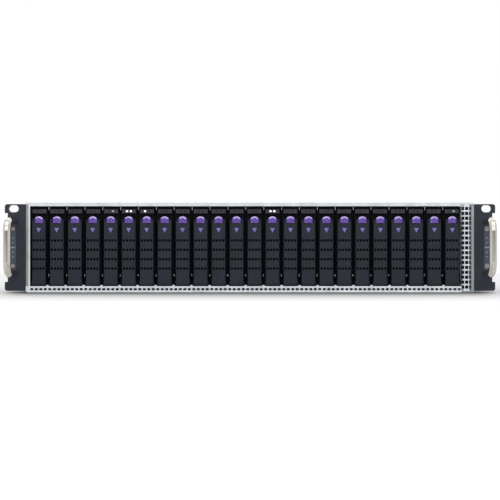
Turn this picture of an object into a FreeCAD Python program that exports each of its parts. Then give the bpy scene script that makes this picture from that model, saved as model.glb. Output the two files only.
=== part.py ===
import FreeCAD, Part
import math
import os

from FreeCAD import Vector

# Two-unit rackmount server, millimetres.
# While building, x runs to the right as seen from the front, y is the depth behind the front lip and z is up.
# The last step moves everything so that the origin lies under the middle of the whole object.

# Sheet metal and fits
SHEET = 1.2
RUN_CLEAR = 0.4
PIN_CLEAR = 0.06
OVERCUT = 1.0

# Body
BODY_HEIGHT = 88.0
SIDE_FRAME = 3.7
VENT_WIDTH = 12.46
HEM_SETBACK = 1.5
HEM_WIDTH = 2.1
SKIRT_HEIGHT = 11.0
SKIRT_CLEAR = 0.2
TOP_FLANGE = 6.0
COVER_GAP = 0.1
GRIP_LENGTH = 60.0
GRIP_WIDTH = 16.0
GRIP_SETBACK = 40.0
GRIP_SINK = 0.5

# Row of drive bays
BAY_COUNT = 24
ARTICULATED_BAYS = 3
BAY_PITCH = 17.66
DIVIDER = 0.8
DIVIDER_SETBACK = 8.0
CAGE_DEPTH = 147.0
SILL_HEIGHT = 6.0
SILL_CORNER = 2.0
SILL_SLOTS_PER_BAY = 4
SILL_SLOT_WIDTH = 3.0
SILL_SLOT_HEIGHT = 2.1
SILL_SLOT_Z = 2.0
TAB_WIDTH = 2.4
TAB_HEIGHT = 1.4
ROOF_DROP = 3.5
ROOF_LIP = 1.7
CAGE_HEM = 1.6

# Drive carrier
CARRIER_SIDE_CLEAR = 0.43
CARRIER_END_ROOM = 9.2
BEZEL_DEPTH = 9.0
BEZEL_THICK = 5.0
CHEEK = 1.0
CHEEK_RISE = 6.0
CHEEK_NOSE = 1.6
KEEL_INSET = 1.6
RAIL_HEIGHT = 3.3
WINDOW_MARGIN = 4.0
WINDOW_DROP = 16.0
DRIVE_LENGTH = 100.0
DRIVE_END = 1.0
LED_BAR_WIDTH = 13.5
LED_BAR_HEIGHT = 4.0
LED_BAR_DROP = 2.4
LED_BAR_REACH = 4.2
LED_SPACING = 3.8
LED_WIDTH = 1.9
LED_HEIGHT = 1.5
LED_PROUD = 0.2

# Carrier lever and its release button
LEVER_WIDTH = 13.4
LEVER_FACE = 0.8
LEVER_SKIN = 2.0
LEVER_RIB = 1.0
LEVER_DEPTH = 5.8
LEVER_EDGE = 0.6
LEVER_TOP_GAP = 16.6
PIVOT_RADIUS = 3.0
PIN_RADIUS = 1.0
GRILLE_ROWS = 4
GRILLE_COLUMNS = 4
GRILLE_HOLE_WIDTH = 2.0
GRILLE_HOLE_HEIGHT = 2.3
GRILLE_COLUMN_PITCH = 3.1
GRILLE_ROW_PITCH = 9.2
GRILLE_BOTTOM = 23.3
BUTTON_WIDTH = 9.4
BUTTON_HEIGHT = 6.6
BUTTON_SINK = 3.4
BUTTON_ARCH = 3.8
BUTTON_BEVEL = 1.6
BUTTON_CORNER = 0.8
BUTTON_FACE = 0.1
BUTTON_LENGTH = 5.6
LEDGE = 2.0
CUP_CORNER = 1.4

# Perforated vent strip at the right of the bays
VENT_FLAT = 4.4
VENT_SHEET = 0.8
VENT_END = 1.0
VENT_ROW_PITCH = 4.82
VENT_HOLE = 3.2
VENT_LEG = 7.0
VENT_GAP = 0.2

# Rack ears, handles and control strips
EAR_WIDTH = 21.3
EAR_THICK = 5.0
EAR_MARGIN = 1.3
EAR_GAP = 0.1
EAR_CORNER = 2.5
EAR_EDGE = 0.7
EAR_HOLE_EDGE = 8.75
EAR_HOLE_DROP = 5.85
EAR_SLOT_LENGTH = 10.0
EAR_SLOT_HEIGHT = 7.0
EAR_NOTCH_DEPTH = 2.9
EAR_NOTCH_HEIGHT = 7.6
EAR_NOTCH_OFFSET = 30.1
EAR_LEAF_THICK = 2.0
EAR_LEAF_LENGTH = 45.0
EAR_LEAF_MARGIN = 5.0
EAR_LEAF_ROOT = 1.0
HANDLE_REACH = 38.0
HANDLE_HEIGHT = 58.2
HANDLE_WIDTH = 6.8
HANDLE_THICK = 6.6
HANDLE_CORNER = 15.0
HANDLE_BEVEL = 1.9
HANDLE_INSET = 9.1
STRIP_WIDTH = 5.6
STRIP_HEIGHT = 44.0
STRIP_RECESS = 1.0
STRIP_PROUD = 0.4
STRIP_INSET = 8.3
KEY_RADIUS = 2.0
KEY_OFFSET = 18.3
KEY_PROUD = 0.9
KEY_LENGTH = 4.0
KEY_TRAVEL = 1.2
KEY_EDGE = 0.4
DOT_COUNT = 5
DOT_PITCH = 4.6
DOT_SIZE = 1.3
DOT_PROUD = 0.15
BAR_WIDTH = 4.4

# Backplane and fan wall
BACKPLANE_THICK = 2.4
CONNECTOR_WIDTH = 5.0
CONNECTOR_HEIGHT = 44.0
CONNECTOR_GAP = 1.2
AIR_SLOT_GAP = 5.0
AIR_SLOT_TOP = 6.0
PLUG_COUNT = 6
PLUG_WIDTH = 22.0
PLUG_HEIGHT = 12.0
PLUG_DEPTH = 9.0
PLUG_RISE = 12.0
CABLE_SPACE = 30.0
FAN_COUNT = 3
FAN_PITCH = 92.0
FAN_DEPTH = 38.0
FAN_HEADROOM = 5.6
FAN_RIM = 2.2
FAN_HUB = 19.0
FAN_BLADES = 7
FAN_BLADE_THICK = 1.6
FAN_ROOT_PITCH = 52.0
FAN_TIP_PITCH = 32.0
FAN_ROOT_CHORD = 27.0
FAN_TIP_CHORD = 42.0
FAN_BLADE_CAMBER = 2.5
FAN_BLADE_ROOT = 2.0
FAN_TIP_CLEAR = 1.0
FAN_SHAFT = 3.0
FAN_PLATE = 5.0
FAN_STRUT = 4.0
FAN_SHAFT_INSET = 6.0
ROTOR_INSET = 3.0
ROTOR_GAP = 0.5
HUB_CAP = 2.0
GUARD_BAR = 5.0
BRACKET_FOOT = 12.0
PASS_MARGIN = 10.0
PASS_SILL = 20.0

# Mainboard
AIR_GAP = 92.0
BOARD_WIDTH = 305.0
BOARD_DEPTH = 330.0
BOARD_THICK = 1.6
BOARD_SETBACK = 2.0
BOARD_SIDE_GAP = 3.0
STANDOFF_HEIGHT = 6.5
STANDOFF_RADIUS = 3.0
STANDOFF_SIDE = 8.0
STANDOFF_FRONT = 10.0
STANDOFF_REAR = 30.0
SOCKET_WIDTH = 78.0
SOCKET_DEPTH = 58.0
SOCKET_HEIGHT = 6.0
SOCKET_FRONT = 150.0
SOCKET_SPREAD = 150.0
SINK_DEPTH = 104.0
SINK_BASE = 6.0
SINK_FINS = 20
SINK_FIN = 0.8
SINK_HEADROOM = 10.0
MEMORY_LENGTH = 142.0
MEMORY_WIDTH = 6.0
MEMORY_HEIGHT = 7.0
MEMORY_PITCH = 8.0
MEMORY_PER_BANK = 4
MEMORY_LATCH = 13.0
MEMORY_GAP = 5.0
MEMORY_LATCH_LENGTH = 7.0
MEMORY_FLOOR = 2.5
MEMORY_GROOVE = 1.6
MEMORY_END = 4.0
CARD_SLOT_LENGTH = 90.0
CARD_SLOT_WIDTH = 7.5
CARD_SLOT_HEIGHT = 11.0
CARD_SLOT_SETBACK = 15.0
HEADER_COUNT = 6
HEADER_PITCH = 22.0
HEADER_WIDTH = 16.0
HEADER_DEPTH = 12.0
HEADER_HEIGHT = 9.0
HEADER_SETBACK = 6.0
POWER_HEADER_WIDTH = 52.0
POWER_HEADER_HEIGHT = 13.0
COOLER_SIZE = 36.0
COOLER_HEIGHT = 11.0
COOLER_SETBACK = 46.0
COOLER_INSET = 42.0

# Rear panel
SLOT_PITCH = 20.32
SLOT_COVER_WIDTH = 18.4
SLOT_COVER_THICK = 1.0
SLOT_COVER_LAP = 4.0
SLOT_OPENING = 13.0
SLOT_MARGIN = 7.0
SLOT_START = 18.0
PORT_CLEAR = 0.4
PORT_PROUD = 1.6
PORT_BODY = 22.0
PORT_ROW = ("dsub", "usb", "rj", "rj", "rj", "dsub")
PORT_SIZES = {"dsub": (31.0, 12.5), "usb": (14.5, 15.6), "rj": (16.0, 13.5)}
PORT_SPACE = 4.0
RJ_MOUTH_WIDTH = 11.8
RJ_MOUTH_HEIGHT = 8.2
RJ_MOUTH_DEPTH = 13.0
USB_MOUTH_WIDTH = 13.0
USB_MOUTH_HEIGHT = 4.8
USB_DEPTH = 9.0
USB_TONGUE = 1.8
USB_TONGUE_WIDTH = 11.0
USB_TONGUE_SETBACK = 0.6
DSUB_BOSS_WIDTH = 17.0
DSUB_BOSS_HEIGHT = 8.2
DSUB_BOSS_REACH = 5.6
DSUB_SLANT = 10.0
REAR_VENT_COLUMNS = 7
REAR_VENT_ROWS = 4
SIDE_VENT_ROWS = 12
REAR_VENT_WIDTH = 18.0
REAR_VENT_HEIGHT = 3.2
REAR_VENT_PITCH_X = 21.6
REAR_VENT_PITCH_Z = 6.0
REAR_VENT_DROP = 8.0

# Power supplies
PSU_WIDTH = 73.5
PSU_LENGTH = 185.0
PSU_GAP = 0.7
PSU_PROUD = 1.0
PSU_FRONT_GAP = 1.0
PSU_HANDLE_REACH = 26.0
PSU_HANDLE_BAR = 4.0
PSU_HANDLE_SPAN = 26.0
PSU_HANDLE_CORNER = 6.0
PSU_HANDLE_GAP = 5.0
INLET_WIDTH = 27.0
INLET_HEIGHT = 20.0
INLET_DEPTH = 16.0
INLET_INSET = 18.0
INLET_PIN = 2.2
INLET_PIN_HEIGHT = 4.0
INLET_PIN_SPACING = 7.0
INLET_PIN_DROP = 2.0
INLET_EARTH_RISE = 3.0
INLET_PIN_SETBACK = 4.0
GRILLE_SLOTS = 6
GRILLE_SLOT = 2.4
GRILLE_DEPTH = 6.0
GRILLE_GAP = 10.0
GRILLE_MARGIN = 3.0
PSU_LATCH_WIDTH = 5.0
PSU_LATCH_HEIGHT = 14.0
PSU_LATCH_REACH = 13.0
PSU_LATCH_TRAVEL = 3.0
PSU_LATCH_STEM = 6.0
PSU_LATCH_STEM_WIDTH = 3.0
PSU_LATCH_STEM_LENGTH = 8.0
PSU_LATCH_POCKET = 10.0
PSU_LATCH_INSET = 3.0
PSU_LATCH_ROUND = 1.2

# Fasteners and rail holes
SCREW_RADIUS = 1.9
SCREW_HEAD = 3.4
SCREW_HEAD_HEIGHT = 1.4
EAR_SCREW_PITCH = 24.0
EAR_SCREW_MARGIN = 2.0
RAIL_HOLE = 4.4
RAIL_HOLE_START = 10.0
RAIL_HOLE_SPACING = 190.0

# Sizes that follow from the ones above
body_width = SIDE_FRAME + BAY_COUNT * BAY_PITCH + VENT_WIDTH
half_width = body_width / 2
half_panel = half_width + EAR_WIDTH
wall_out = half_width - SHEET - SKIRT_CLEAR
wall_in = wall_out - SHEET
wall_top = BODY_HEIGHT - SHEET
middle_z = BODY_HEIGHT / 2
bays_left = -half_width + SIDE_FRAME
bays_right = bays_left + BAY_COUNT * BAY_PITCH
roof_z = BODY_HEIGHT - ROOF_DROP
ear_face = HEM_SETBACK + SHEET + EAR_GAP
carrier_half = (BAY_PITCH - DIVIDER) / 2 - CARRIER_SIDE_CLEAR
carrier_bottom = SILL_HEIGHT + TAB_HEIGHT + RUN_CLEAR
carrier_top = roof_z - RUN_CLEAR
carrier_end = CAGE_DEPTH - CARRIER_END_ROOM
lever_half = LEVER_WIDTH / 2
lever_top = BODY_HEIGHT - LEVER_TOP_GAP
pivot_y = LEVER_FACE + PIVOT_RADIUS
pivot_z = SILL_HEIGHT + RUN_CLEAR + PIVOT_RADIUS
button_bottom = lever_top - BUTTON_SINK
handle_x = half_panel - HANDLE_INSET
strip_x = half_panel - STRIP_INSET
backplane_end = CAGE_DEPTH + BACKPLANE_THICK
fan_front = backplane_end + CABLE_SPACE
fan_back = fan_front + FAN_DEPTH
fan_size = BODY_HEIGHT - 2 * SHEET - FAN_HEADROOM
fan_bore = fan_size / 2 - FAN_RIM
fan_z = SHEET + fan_size / 2
cover_split = fan_front - CABLE_SPACE / 2
board_front = fan_back + SHEET + AIR_GAP
board_back = board_front + BOARD_DEPTH
body_depth = board_back + BOARD_SETBACK + SHEET
board_bottom = SHEET + STANDOFF_HEIGHT
board_top = board_bottom + BOARD_THICK
psu_right = wall_in - PSU_GAP
psu_left = psu_right - PSU_WIDTH
psu_front = body_depth - PSU_LENGTH
psu_face = body_depth + PSU_PROUD
shelf_z = (SHEET + wall_top - SHEET) / 2 - SHEET / 2
psu_height = shelf_z - SHEET - 2 * PSU_GAP
board_right = psu_left - PSU_GAP - SHEET - BOARD_SIDE_GAP
board_left = board_right - BOARD_WIDTH
board_middle = (board_left + board_right) / 2
port_row_width = sum(PORT_SIZES[kind][0] for kind in PORT_ROW) + PORT_SPACE * (len(PORT_ROW) - 1)
slot_count = int((BOARD_WIDTH - SLOT_START - port_row_width) / SLOT_PITCH)
slots_right = board_left + slot_count * SLOT_PITCH
front_end = ear_face - HANDLE_REACH
rear_end = psu_face + PSU_HANDLE_REACH
origin_shift = Vector(0, -(front_end + rear_end) / 2, 0)


def block(x, y, z):
    """Box between the two ends given for each axis."""
    low = Vector(min(x), min(y), min(z))
    return Part.makeBox(abs(x[1] - x[0]), abs(y[1] - y[0]), abs(z[1] - z[0]), low)


def around(middle, size):
    """The two ends of a length centred on a value."""
    return (middle - size / 2, middle + size / 2)


def prism(points, travel):
    """Polygon through the points, extruded along a vector."""
    wire = Part.makePolygon([Vector(*point) for point in points + points[:1]])
    return Part.Face(wire).extrude(Vector(*travel))


def rod(radius, start, end):
    """Cylinder between two points."""
    along = Vector(*end) - Vector(*start)
    return Part.makeCylinder(radius, along.Length, Vector(*start), along)


def hexagon_post(radius, x, y, z):
    """Upright six-sided post between two heights."""
    corners = []
    for index in range(6):
        turn = math.radians(60 * index)
        corners.append((x + radius * math.cos(turn), y + radius * math.sin(turn), z[0]))
    return prism(corners, (0, 0, z[1] - z[0]))


def mirrored(shape, side):
    """The shape as built for the right side, or its mirror image for the left."""
    if side > 0:
        return shape
    return shape.mirror(Vector(0, 0, 0), Vector(1, 0, 0))


def edges_along(axis, shape, first, second):
    """Straight edges along an axis whose other two coordinates, in x, y, z order, have one of the values."""
    others = [name for name in "xyz" if name != axis]
    found = []
    for edge in shape.Edges:
        start = edge.Vertexes[0].Point
        end = edge.Vertexes[-1].Point
        straight = all(abs(getattr(start, name) - getattr(end, name)) < 1e-6 for name in others)
        at_first = any(abs(getattr(start, others[0]) - value) < 1e-4 for value in first)
        at_second = any(abs(getattr(start, others[1]) - value) < 1e-4 for value in second)
        if straight and at_first and at_second:
            found.append(edge)
    return found


def slot_cutter(x, z, length, height, y):
    """Round-ended slot, long way along x, cut from front to back."""
    half = (length - height) / 2
    middle = block((x - half, x + half), y, around(z, height))
    left = rod(height / 2, (x - half, y[0], z), (x - half, y[1], z))
    right = rod(height / 2, (x + half, y[0], z), (x + half, y[1], z))
    return middle.fuse([left, right]).removeSplitter()


def bay_middle(index):
    return bays_left + (index + 0.5) * BAY_PITCH


def ear_screw_depths():
    first = ear_face + EAR_THICK + SCREW_HEAD + EAR_SCREW_MARGIN
    return [first, first + EAR_SCREW_PITCH]


# Chassis

def standoff_points():
    points = []
    for x in (board_left + STANDOFF_SIDE, board_middle, board_right - STANDOFF_SIDE):
        middle = (board_front + board_back) / 2
        for y in (board_front + STANDOFF_FRONT, middle, board_back - STANDOFF_REAR):
            points.append((x, y))
    return points


def chassis_base():
    pieces = [block((-wall_out, wall_out), (SHEET, body_depth), (0, SHEET))]
    holes = []
    for side in (-1, 1):
        wall = block((side * wall_in, side * wall_out), (HEM_SETBACK, body_depth), (0, wall_top))
        hem_x = (side * (half_width - HEM_WIDTH), side * half_width)
        hem = block(hem_x, (HEM_SETBACK, HEM_SETBACK + SHEET), (0, wall_top))
        flange_x = (side * wall_in, side * (wall_in - TOP_FLANGE))
        flange = block(flange_x, (cover_split, body_depth - SHEET), (wall_top - SHEET, wall_top))
        pieces += [wall, hem, flange]
        inside = side * (wall_in - OVERCUT)
        outside = side * (wall_out + OVERCUT)
        for step in (0, 1):
            y = fan_front + RAIL_HOLE_START + step * RAIL_HOLE_SPACING
            holes.append(rod(RAIL_HOLE / 2, (inside, y, middle_z), (outside, y, middle_z)))
        for y in ear_screw_depths():
            holes.append(rod(SCREW_RADIUS, (inside, y, middle_z), (outside, y, middle_z)))
    for x, y in standoff_points():
        pieces.append(hexagon_post(STANDOFF_RADIUS, x, y, (SHEET, board_bottom)))
    return pieces[0].fuse(pieces[1:]).cut(holes).removeSplitter()


def front_cover():
    plate = block((-half_width, half_width), (0, cover_split - RUN_CLEAR), (wall_top, BODY_HEIGHT))
    fold = block((-half_width, half_width), (0, SHEET), (roof_z + ROOF_LIP, BODY_HEIGHT))
    skirts = []
    for side in (-1, 1):
        skirt_x = (side * (half_width - SHEET), side * half_width)
        skirt_y = (ear_face + EAR_THICK + EAR_LEAF_THICK, cover_split - RUN_CLEAR)
        skirts.append(block(skirt_x, skirt_y, (BODY_HEIGHT - SKIRT_HEIGHT, BODY_HEIGHT)))
    return plate.fuse([fold] + skirts).removeSplitter()


def rear_cover():
    """Lid with side skirts and a shallow grip."""
    low = wall_top + COVER_GAP
    plate = block((-half_width, half_width), (cover_split, body_depth), (low, BODY_HEIGHT))
    skirts = []
    for side in (-1, 1):
        skirt_x = (side * (half_width - SHEET), side * half_width)
        skirts.append(block(skirt_x, (cover_split, body_depth), (BODY_HEIGHT - SKIRT_HEIGHT, BODY_HEIGHT)))
    grip = slot_cutter(0, 0, GRIP_LENGTH, GRIP_WIDTH, (0, GRIP_SINK + OVERCUT))
    grip.rotate(Vector(0, 0, 0), Vector(1, 0, 0), 90)
    grip.translate(Vector(0, cover_split + GRIP_SETBACK, BODY_HEIGHT - GRIP_SINK))
    return plate.fuse(skirts).cut(grip).removeSplitter()


# Drive cage

def cage_floor():
    floor = block((-wall_in + SHEET, bays_right), (0, CAGE_DEPTH), (SILL_HEIGHT - SHEET, SILL_HEIGHT))
    sill = block((-half_width, bays_right), (0, SHEET), (0, SILL_HEIGHT))
    sill = sill.makeFillet(SILL_CORNER, edges_along("y", sill, [-half_width], [0]))
    tabs = []
    for index in range(1, BAY_COUNT):
        x = bays_left + index * BAY_PITCH
        half = TAB_WIDTH / 2
        outline = [
            (x - half, 0, SILL_HEIGHT),
            (x + half, 0, SILL_HEIGHT),
            (x + half, 0, SILL_HEIGHT + TAB_HEIGHT / 2),
            (x, 0, SILL_HEIGHT + TAB_HEIGHT),
            (x - half, 0, SILL_HEIGHT + TAB_HEIGHT / 2),
        ]
        tabs.append(prism(outline, (0, SHEET, 0)))
    slots = []
    pitch = BAY_PITCH / SILL_SLOTS_PER_BAY
    for index in range(BAY_COUNT * SILL_SLOTS_PER_BAY):
        x = bays_left + (index + 0.5) * pitch
        slot_z = (SILL_SLOT_Z, SILL_SLOT_Z + SILL_SLOT_HEIGHT)
        slots.append(block(around(x, SILL_SLOT_WIDTH), (-OVERCUT, SHEET + OVERCUT), slot_z))
    return sill.fuse([floor] + tabs).removeSplitter().cut(slots)


def drive_cage():
    """Floor with slotted sill, roof, two side walls and the dividers between the bays."""
    left_x = (-wall_in, -wall_in + SHEET)
    right_x = (bays_right, bays_right + SHEET)
    roof = block((left_x[0], bays_right), (0, CAGE_DEPTH), (roof_z, roof_z + SHEET))
    lip = block((left_x[0], bays_right), (0, SHEET), (roof_z, roof_z + ROOF_LIP))
    left_wall = block(left_x, (SHEET, CAGE_DEPTH), (SHEET, roof_z))
    left_hem = block((left_x[0], left_x[0] + CAGE_HEM), (0, SHEET), (SILL_HEIGHT, roof_z))
    right_wall = block(right_x, (DIVIDER_SETBACK, CAGE_DEPTH), (SHEET, roof_z + SHEET))
    lipped_roof = roof.fuse(lip).removeSplitter()
    hemmed_wall = left_wall.fuse(left_hem).removeSplitter()
    solids = [cage_floor(), lipped_roof, hemmed_wall, right_wall]
    for index in range(1, BAY_COUNT):
        x = bays_left + index * BAY_PITCH
        divider_y = (DIVIDER_SETBACK, CAGE_DEPTH)
        solids.append(block(around(x, DIVIDER), divider_y, (SILL_HEIGHT, roof_z)))
    return solids


def front_vent():
    """Perforated strip folded to a shallow trough, with holes on its face and on both bends."""
    left = bays_right + VENT_GAP
    right = wall_in
    run = (right - left - VENT_FLAT) / 2
    inset = VENT_SHEET * math.tan(math.radians(22.5))
    low = SHEET
    high = roof_z + ROOF_LIP
    outline = [
        (left, VENT_LEG, low),
        (left, run, low),
        (left + run, 0, low),
        (right - run, 0, low),
        (right, run, low),
        (right, VENT_LEG, low),
        (right - VENT_SHEET, VENT_LEG, low),
        (right - VENT_SHEET, run + inset, low),
        (right - run - inset, VENT_SHEET, low),
        (left + run + inset, VENT_SHEET, low),
        (left + VENT_SHEET, run + inset, low),
        (left + VENT_SHEET, VENT_LEG, low),
    ]
    trough = prism(outline, (0, 0, high - low))
    middle = (left + right) / 2
    rows = int((high - low - 2 * VENT_END) / VENT_ROW_PITCH)
    hole = block(around(0, VENT_HOLE), around(0, 3 * VENT_SHEET), around(0, VENT_HOLE))
    holes = []
    for row in range(rows):
        z = (low + high) / 2 + (row - (rows - 1) / 2) * VENT_ROW_PITCH
        for x, y, turn in ((middle, 0, 0), (left + run / 2, run / 2, -45), (right - run / 2, run / 2, 45)):
            cutter = hole.copy()
            cutter.rotate(Vector(0, 0, 0), Vector(0, 0, 1), turn)
            cutter.translate(Vector(x, y, z))
            holes.append(cutter)
    return trough.cut(holes)


# Drive carriers

def carrier_frame(pinned):
    """Bezel with cheeks, LED bar and the two rails that hold the drive blank, with or without a hinge pin."""
    half = carrier_half
    bezel_end = BEZEL_DEPTH + BEZEL_THICK
    bezel = block((-half, half), (BEZEL_DEPTH, bezel_end), (carrier_bottom, carrier_top))
    cheek_top = pivot_z + CHEEK_RISE
    pieces = []
    for side in (-1, 1):
        outline = [
            (side * half, pivot_y - CHEEK_NOSE, carrier_bottom),
            (side * half, BEZEL_DEPTH, carrier_bottom),
            (side * half, BEZEL_DEPTH, cheek_top),
            (side * half, pivot_y - CHEEK_NOSE, pivot_z + CHEEK_NOSE),
        ]
        pieces.append(prism(outline, (-side * CHEEK, 0, 0)))
    if pinned:
        pin_ends = ((-half + CHEEK, pivot_y, pivot_z), (half - CHEEK, pivot_y, pivot_z))
        pieces.append(rod(PIN_RADIUS, *pin_ends))
    bar_z = (carrier_top - LED_BAR_DROP - LED_BAR_HEIGHT, carrier_top - LED_BAR_DROP)
    pieces.append(block(around(0, LED_BAR_WIDTH), (BEZEL_DEPTH - LED_BAR_REACH, BEZEL_DEPTH), bar_z))
    rail_y = (bezel_end, carrier_end)
    pieces.append(block((-half, half), rail_y, (carrier_bottom, carrier_bottom + RAIL_HEIGHT)))
    pieces.append(block((-half, half), rail_y, (carrier_top - RAIL_HEIGHT, carrier_top)))
    pieces.append(block((-half, -half + CHEEK), rail_y, (carrier_bottom, carrier_top)))
    keel_x = (-half + KEEL_INSET, half - KEEL_INSET)
    pieces.append(block(keel_x, (BEZEL_DEPTH, carrier_end), (SILL_HEIGHT + RUN_CLEAR, carrier_bottom)))
    lights = light_pipes()
    window_y = (BEZEL_DEPTH - OVERCUT, bezel_end + OVERCUT)
    window_z = (GRILLE_BOTTOM - WINDOW_MARGIN, lever_top - WINDOW_DROP)
    window = block(around(0, LEVER_WIDTH - 2 * LEVER_RIB), window_y, window_z)
    return bezel.fuse(pieces).removeSplitter().cut([window] + lights)


def light_pipes():
    z = carrier_top - LED_BAR_DROP - LED_BAR_HEIGHT / 2
    pipes = []
    for side in (-1, 1):
        pipe_y = (BEZEL_DEPTH - LED_BAR_REACH - LED_PROUD, BEZEL_DEPTH + BEZEL_THICK + LED_PROUD)
        pipes.append(block(around(side * LED_SPACING / 2, LED_WIDTH), pipe_y, around(z, LED_HEIGHT)))
    return pipes


def drive_blank():
    blank_x = (-carrier_half + CHEEK, carrier_half)
    blank_y = (carrier_end - DRIVE_END - DRIVE_LENGTH, carrier_end - DRIVE_END)
    return block(blank_x, blank_y, (carrier_bottom + RAIL_HEIGHT, carrier_top - RAIL_HEIGHT))


def lever(bored):
    """Grille lever: bevelled skin on two ribs, round hinge barrel below and a cup for the button on top."""
    back = LEVER_FACE + LEVER_SKIN
    deep = LEVER_FACE + LEVER_DEPTH
    outline = [
        (-lever_half, LEVER_FACE + LEVER_EDGE, pivot_z),
        (-lever_half + LEVER_EDGE, LEVER_FACE, pivot_z),
        (lever_half - LEVER_EDGE, LEVER_FACE, pivot_z),
        (lever_half, LEVER_FACE + LEVER_EDGE, pivot_z),
        (lever_half, deep, pivot_z),
        (lever_half - LEVER_RIB, deep, pivot_z),
        (lever_half - LEVER_RIB, back, pivot_z),
        (-lever_half + LEVER_RIB, back, pivot_z),
        (-lever_half + LEVER_RIB, deep, pivot_z),
        (-lever_half, deep, pivot_z),
    ]
    channel = prism(outline, (0, 0, lever_top - pivot_z))
    barrel = rod(PIVOT_RADIUS, (-lever_half, pivot_y, pivot_z), (lever_half, pivot_y, pivot_z))
    cup_floor = button_bottom - RUN_CLEAR
    ledge_x = (-lever_half + LEVER_RIB / 2, lever_half - LEVER_RIB / 2)
    ledge = block(ledge_x, (LEVER_FACE + LEVER_EDGE, deep), (cup_floor - LEDGE, lever_top))
    half_cup = BUTTON_WIDTH / 2 + RUN_CLEAR
    cup_y = (LEVER_FACE - OVERCUT, deep + OVERCUT)
    cup = block((-half_cup, half_cup), cup_y, (cup_floor, lever_top + BUTTON_HEIGHT))
    cup = cup.makeFillet(CUP_CORNER, edges_along("y", cup, [-half_cup, half_cup], [cup_floor]))
    cutters = [cup]
    if bored:
        bore_ends = ((-lever_half - OVERCUT, pivot_y, pivot_z), (lever_half + OVERCUT, pivot_y, pivot_z))
        cutters.append(rod(PIN_RADIUS + PIN_CLEAR, *bore_ends))
    for row in range(GRILLE_ROWS):
        z = GRILLE_BOTTOM + row * GRILLE_ROW_PITCH
        for column in range(GRILLE_COLUMNS):
            x = (column - (GRILLE_COLUMNS - 1) / 2) * GRILLE_COLUMN_PITCH
            hole_x = around(x, GRILLE_HOLE_WIDTH)
            hole_y = (LEVER_FACE - OVERCUT, back + OVERCUT)
            cutters.append(block(hole_x, hole_y, around(z, GRILLE_HOLE_HEIGHT)))
    return channel.fuse([barrel, ledge]).removeSplitter().cut(cutters)


def button_outline(y, inset):
    """Flat-bottomed arch: lower corners bevelled, top one long arc."""
    half = BUTTON_WIDTH / 2 - inset
    low = button_bottom
    shoulder = low + BUTTON_HEIGHT - BUTTON_ARCH - inset / 2
    top = low + BUTTON_HEIGHT - inset
    points = [
        Vector(half, y, shoulder),
        Vector(half, y, low + BUTTON_CORNER),
        Vector(half - BUTTON_CORNER, y, low),
        Vector(-half + BUTTON_CORNER, y, low),
        Vector(-half, y, low + BUTTON_CORNER),
        Vector(-half, y, shoulder),
    ]
    edges = [Part.makeLine(start, end) for start, end in zip(points, points[1:])]
    edges.append(Part.Arc(points[-1], Vector(0, y, top), points[0]).toShape())
    return Part.Wire(edges)


def release_button():
    front = button_outline(BUTTON_FACE, BUTTON_BEVEL)
    rim = button_outline(BUTTON_FACE + BUTTON_BEVEL, 0)
    back = button_outline(BUTTON_FACE + BUTTON_LENGTH, 0)
    return Part.makeLoft([front, rim, back], True, True)


# Rack ears, handles and controls

def strip_range():
    return around(middle_z, STRIP_HEIGHT)


def rack_ear(side):
    """Thick notched plate with a rack slot, and a leaf that lies on the side wall."""
    low = EAR_MARGIN
    high = BODY_HEIGHT - EAR_MARGIN
    outer = half_panel
    notch = half_panel - EAR_NOTCH_DEPTH
    lower_notch = around(middle_z - EAR_NOTCH_OFFSET, EAR_NOTCH_HEIGHT)
    upper_notch = around(middle_z + EAR_NOTCH_OFFSET, EAR_NOTCH_HEIGHT)
    outline = [
        (wall_out, ear_face, low),
        (outer, ear_face, low),
        (outer, ear_face, lower_notch[0]),
        (notch, ear_face, lower_notch[0]),
        (notch, ear_face, lower_notch[1]),
        (outer, ear_face, lower_notch[1]),
        (outer, ear_face, upper_notch[0]),
        (notch, ear_face, upper_notch[0]),
        (notch, ear_face, upper_notch[1]),
        (outer, ear_face, upper_notch[1]),
        (outer, ear_face, high),
        (wall_out, ear_face, high),
    ]
    plate = prism(outline, (0, EAR_THICK, 0))
    plate = plate.makeFillet(EAR_CORNER, edges_along("y", plate, [outer], [low, high]))
    front_rim = [edge for edge in plate.Edges if abs(edge.BoundBox.YMax - ear_face) < 1e-6]
    front_rim = [edge for edge in front_rim if edge.BoundBox.XMin > half_width]
    plate = plate.makeChamfer(EAR_EDGE, front_rim)
    leaf_z = (EAR_LEAF_MARGIN, BODY_HEIGHT - SKIRT_HEIGHT - EAR_LEAF_MARGIN)
    leaf_y = (ear_face + EAR_THICK - EAR_LEAF_ROOT, ear_face + EAR_LEAF_LENGTH)
    leaf = block((wall_out, wall_out + EAR_LEAF_THICK), leaf_y, leaf_z)
    hole_x = half_panel - EAR_HOLE_EDGE
    hole_z = BODY_HEIGHT - EAR_HOLE_DROP
    through = (ear_face - OVERCUT, ear_face + EAR_THICK + OVERCUT)
    cutters = [slot_cutter(hole_x, hole_z, EAR_SLOT_LENGTH, EAR_SLOT_HEIGHT, through)]
    recess_y = (ear_face - OVERCUT, ear_face + STRIP_RECESS)
    cutters.append(block(around(strip_x, STRIP_WIDTH), recess_y, strip_range()))
    pocket_end = ear_face - KEY_PROUD + KEY_LENGTH + KEY_TRAVEL + RUN_CLEAR
    for offset in (-KEY_OFFSET, KEY_OFFSET):
        z = middle_z + offset
        cutters.append(rod(KEY_RADIUS + RUN_CLEAR, (strip_x, ear_face, z), (strip_x, pocket_end, z)))
    for y in ear_screw_depths():
        hole_ends = ((wall_out - OVERCUT, y, middle_z), (wall_out + EAR_LEAF_THICK + OVERCUT, y, middle_z))
        cutters.append(rod(SCREW_RADIUS, *hole_ends))
    return mirrored(plate.fuse(leaf).removeSplitter().cut(cutters), side)


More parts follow.
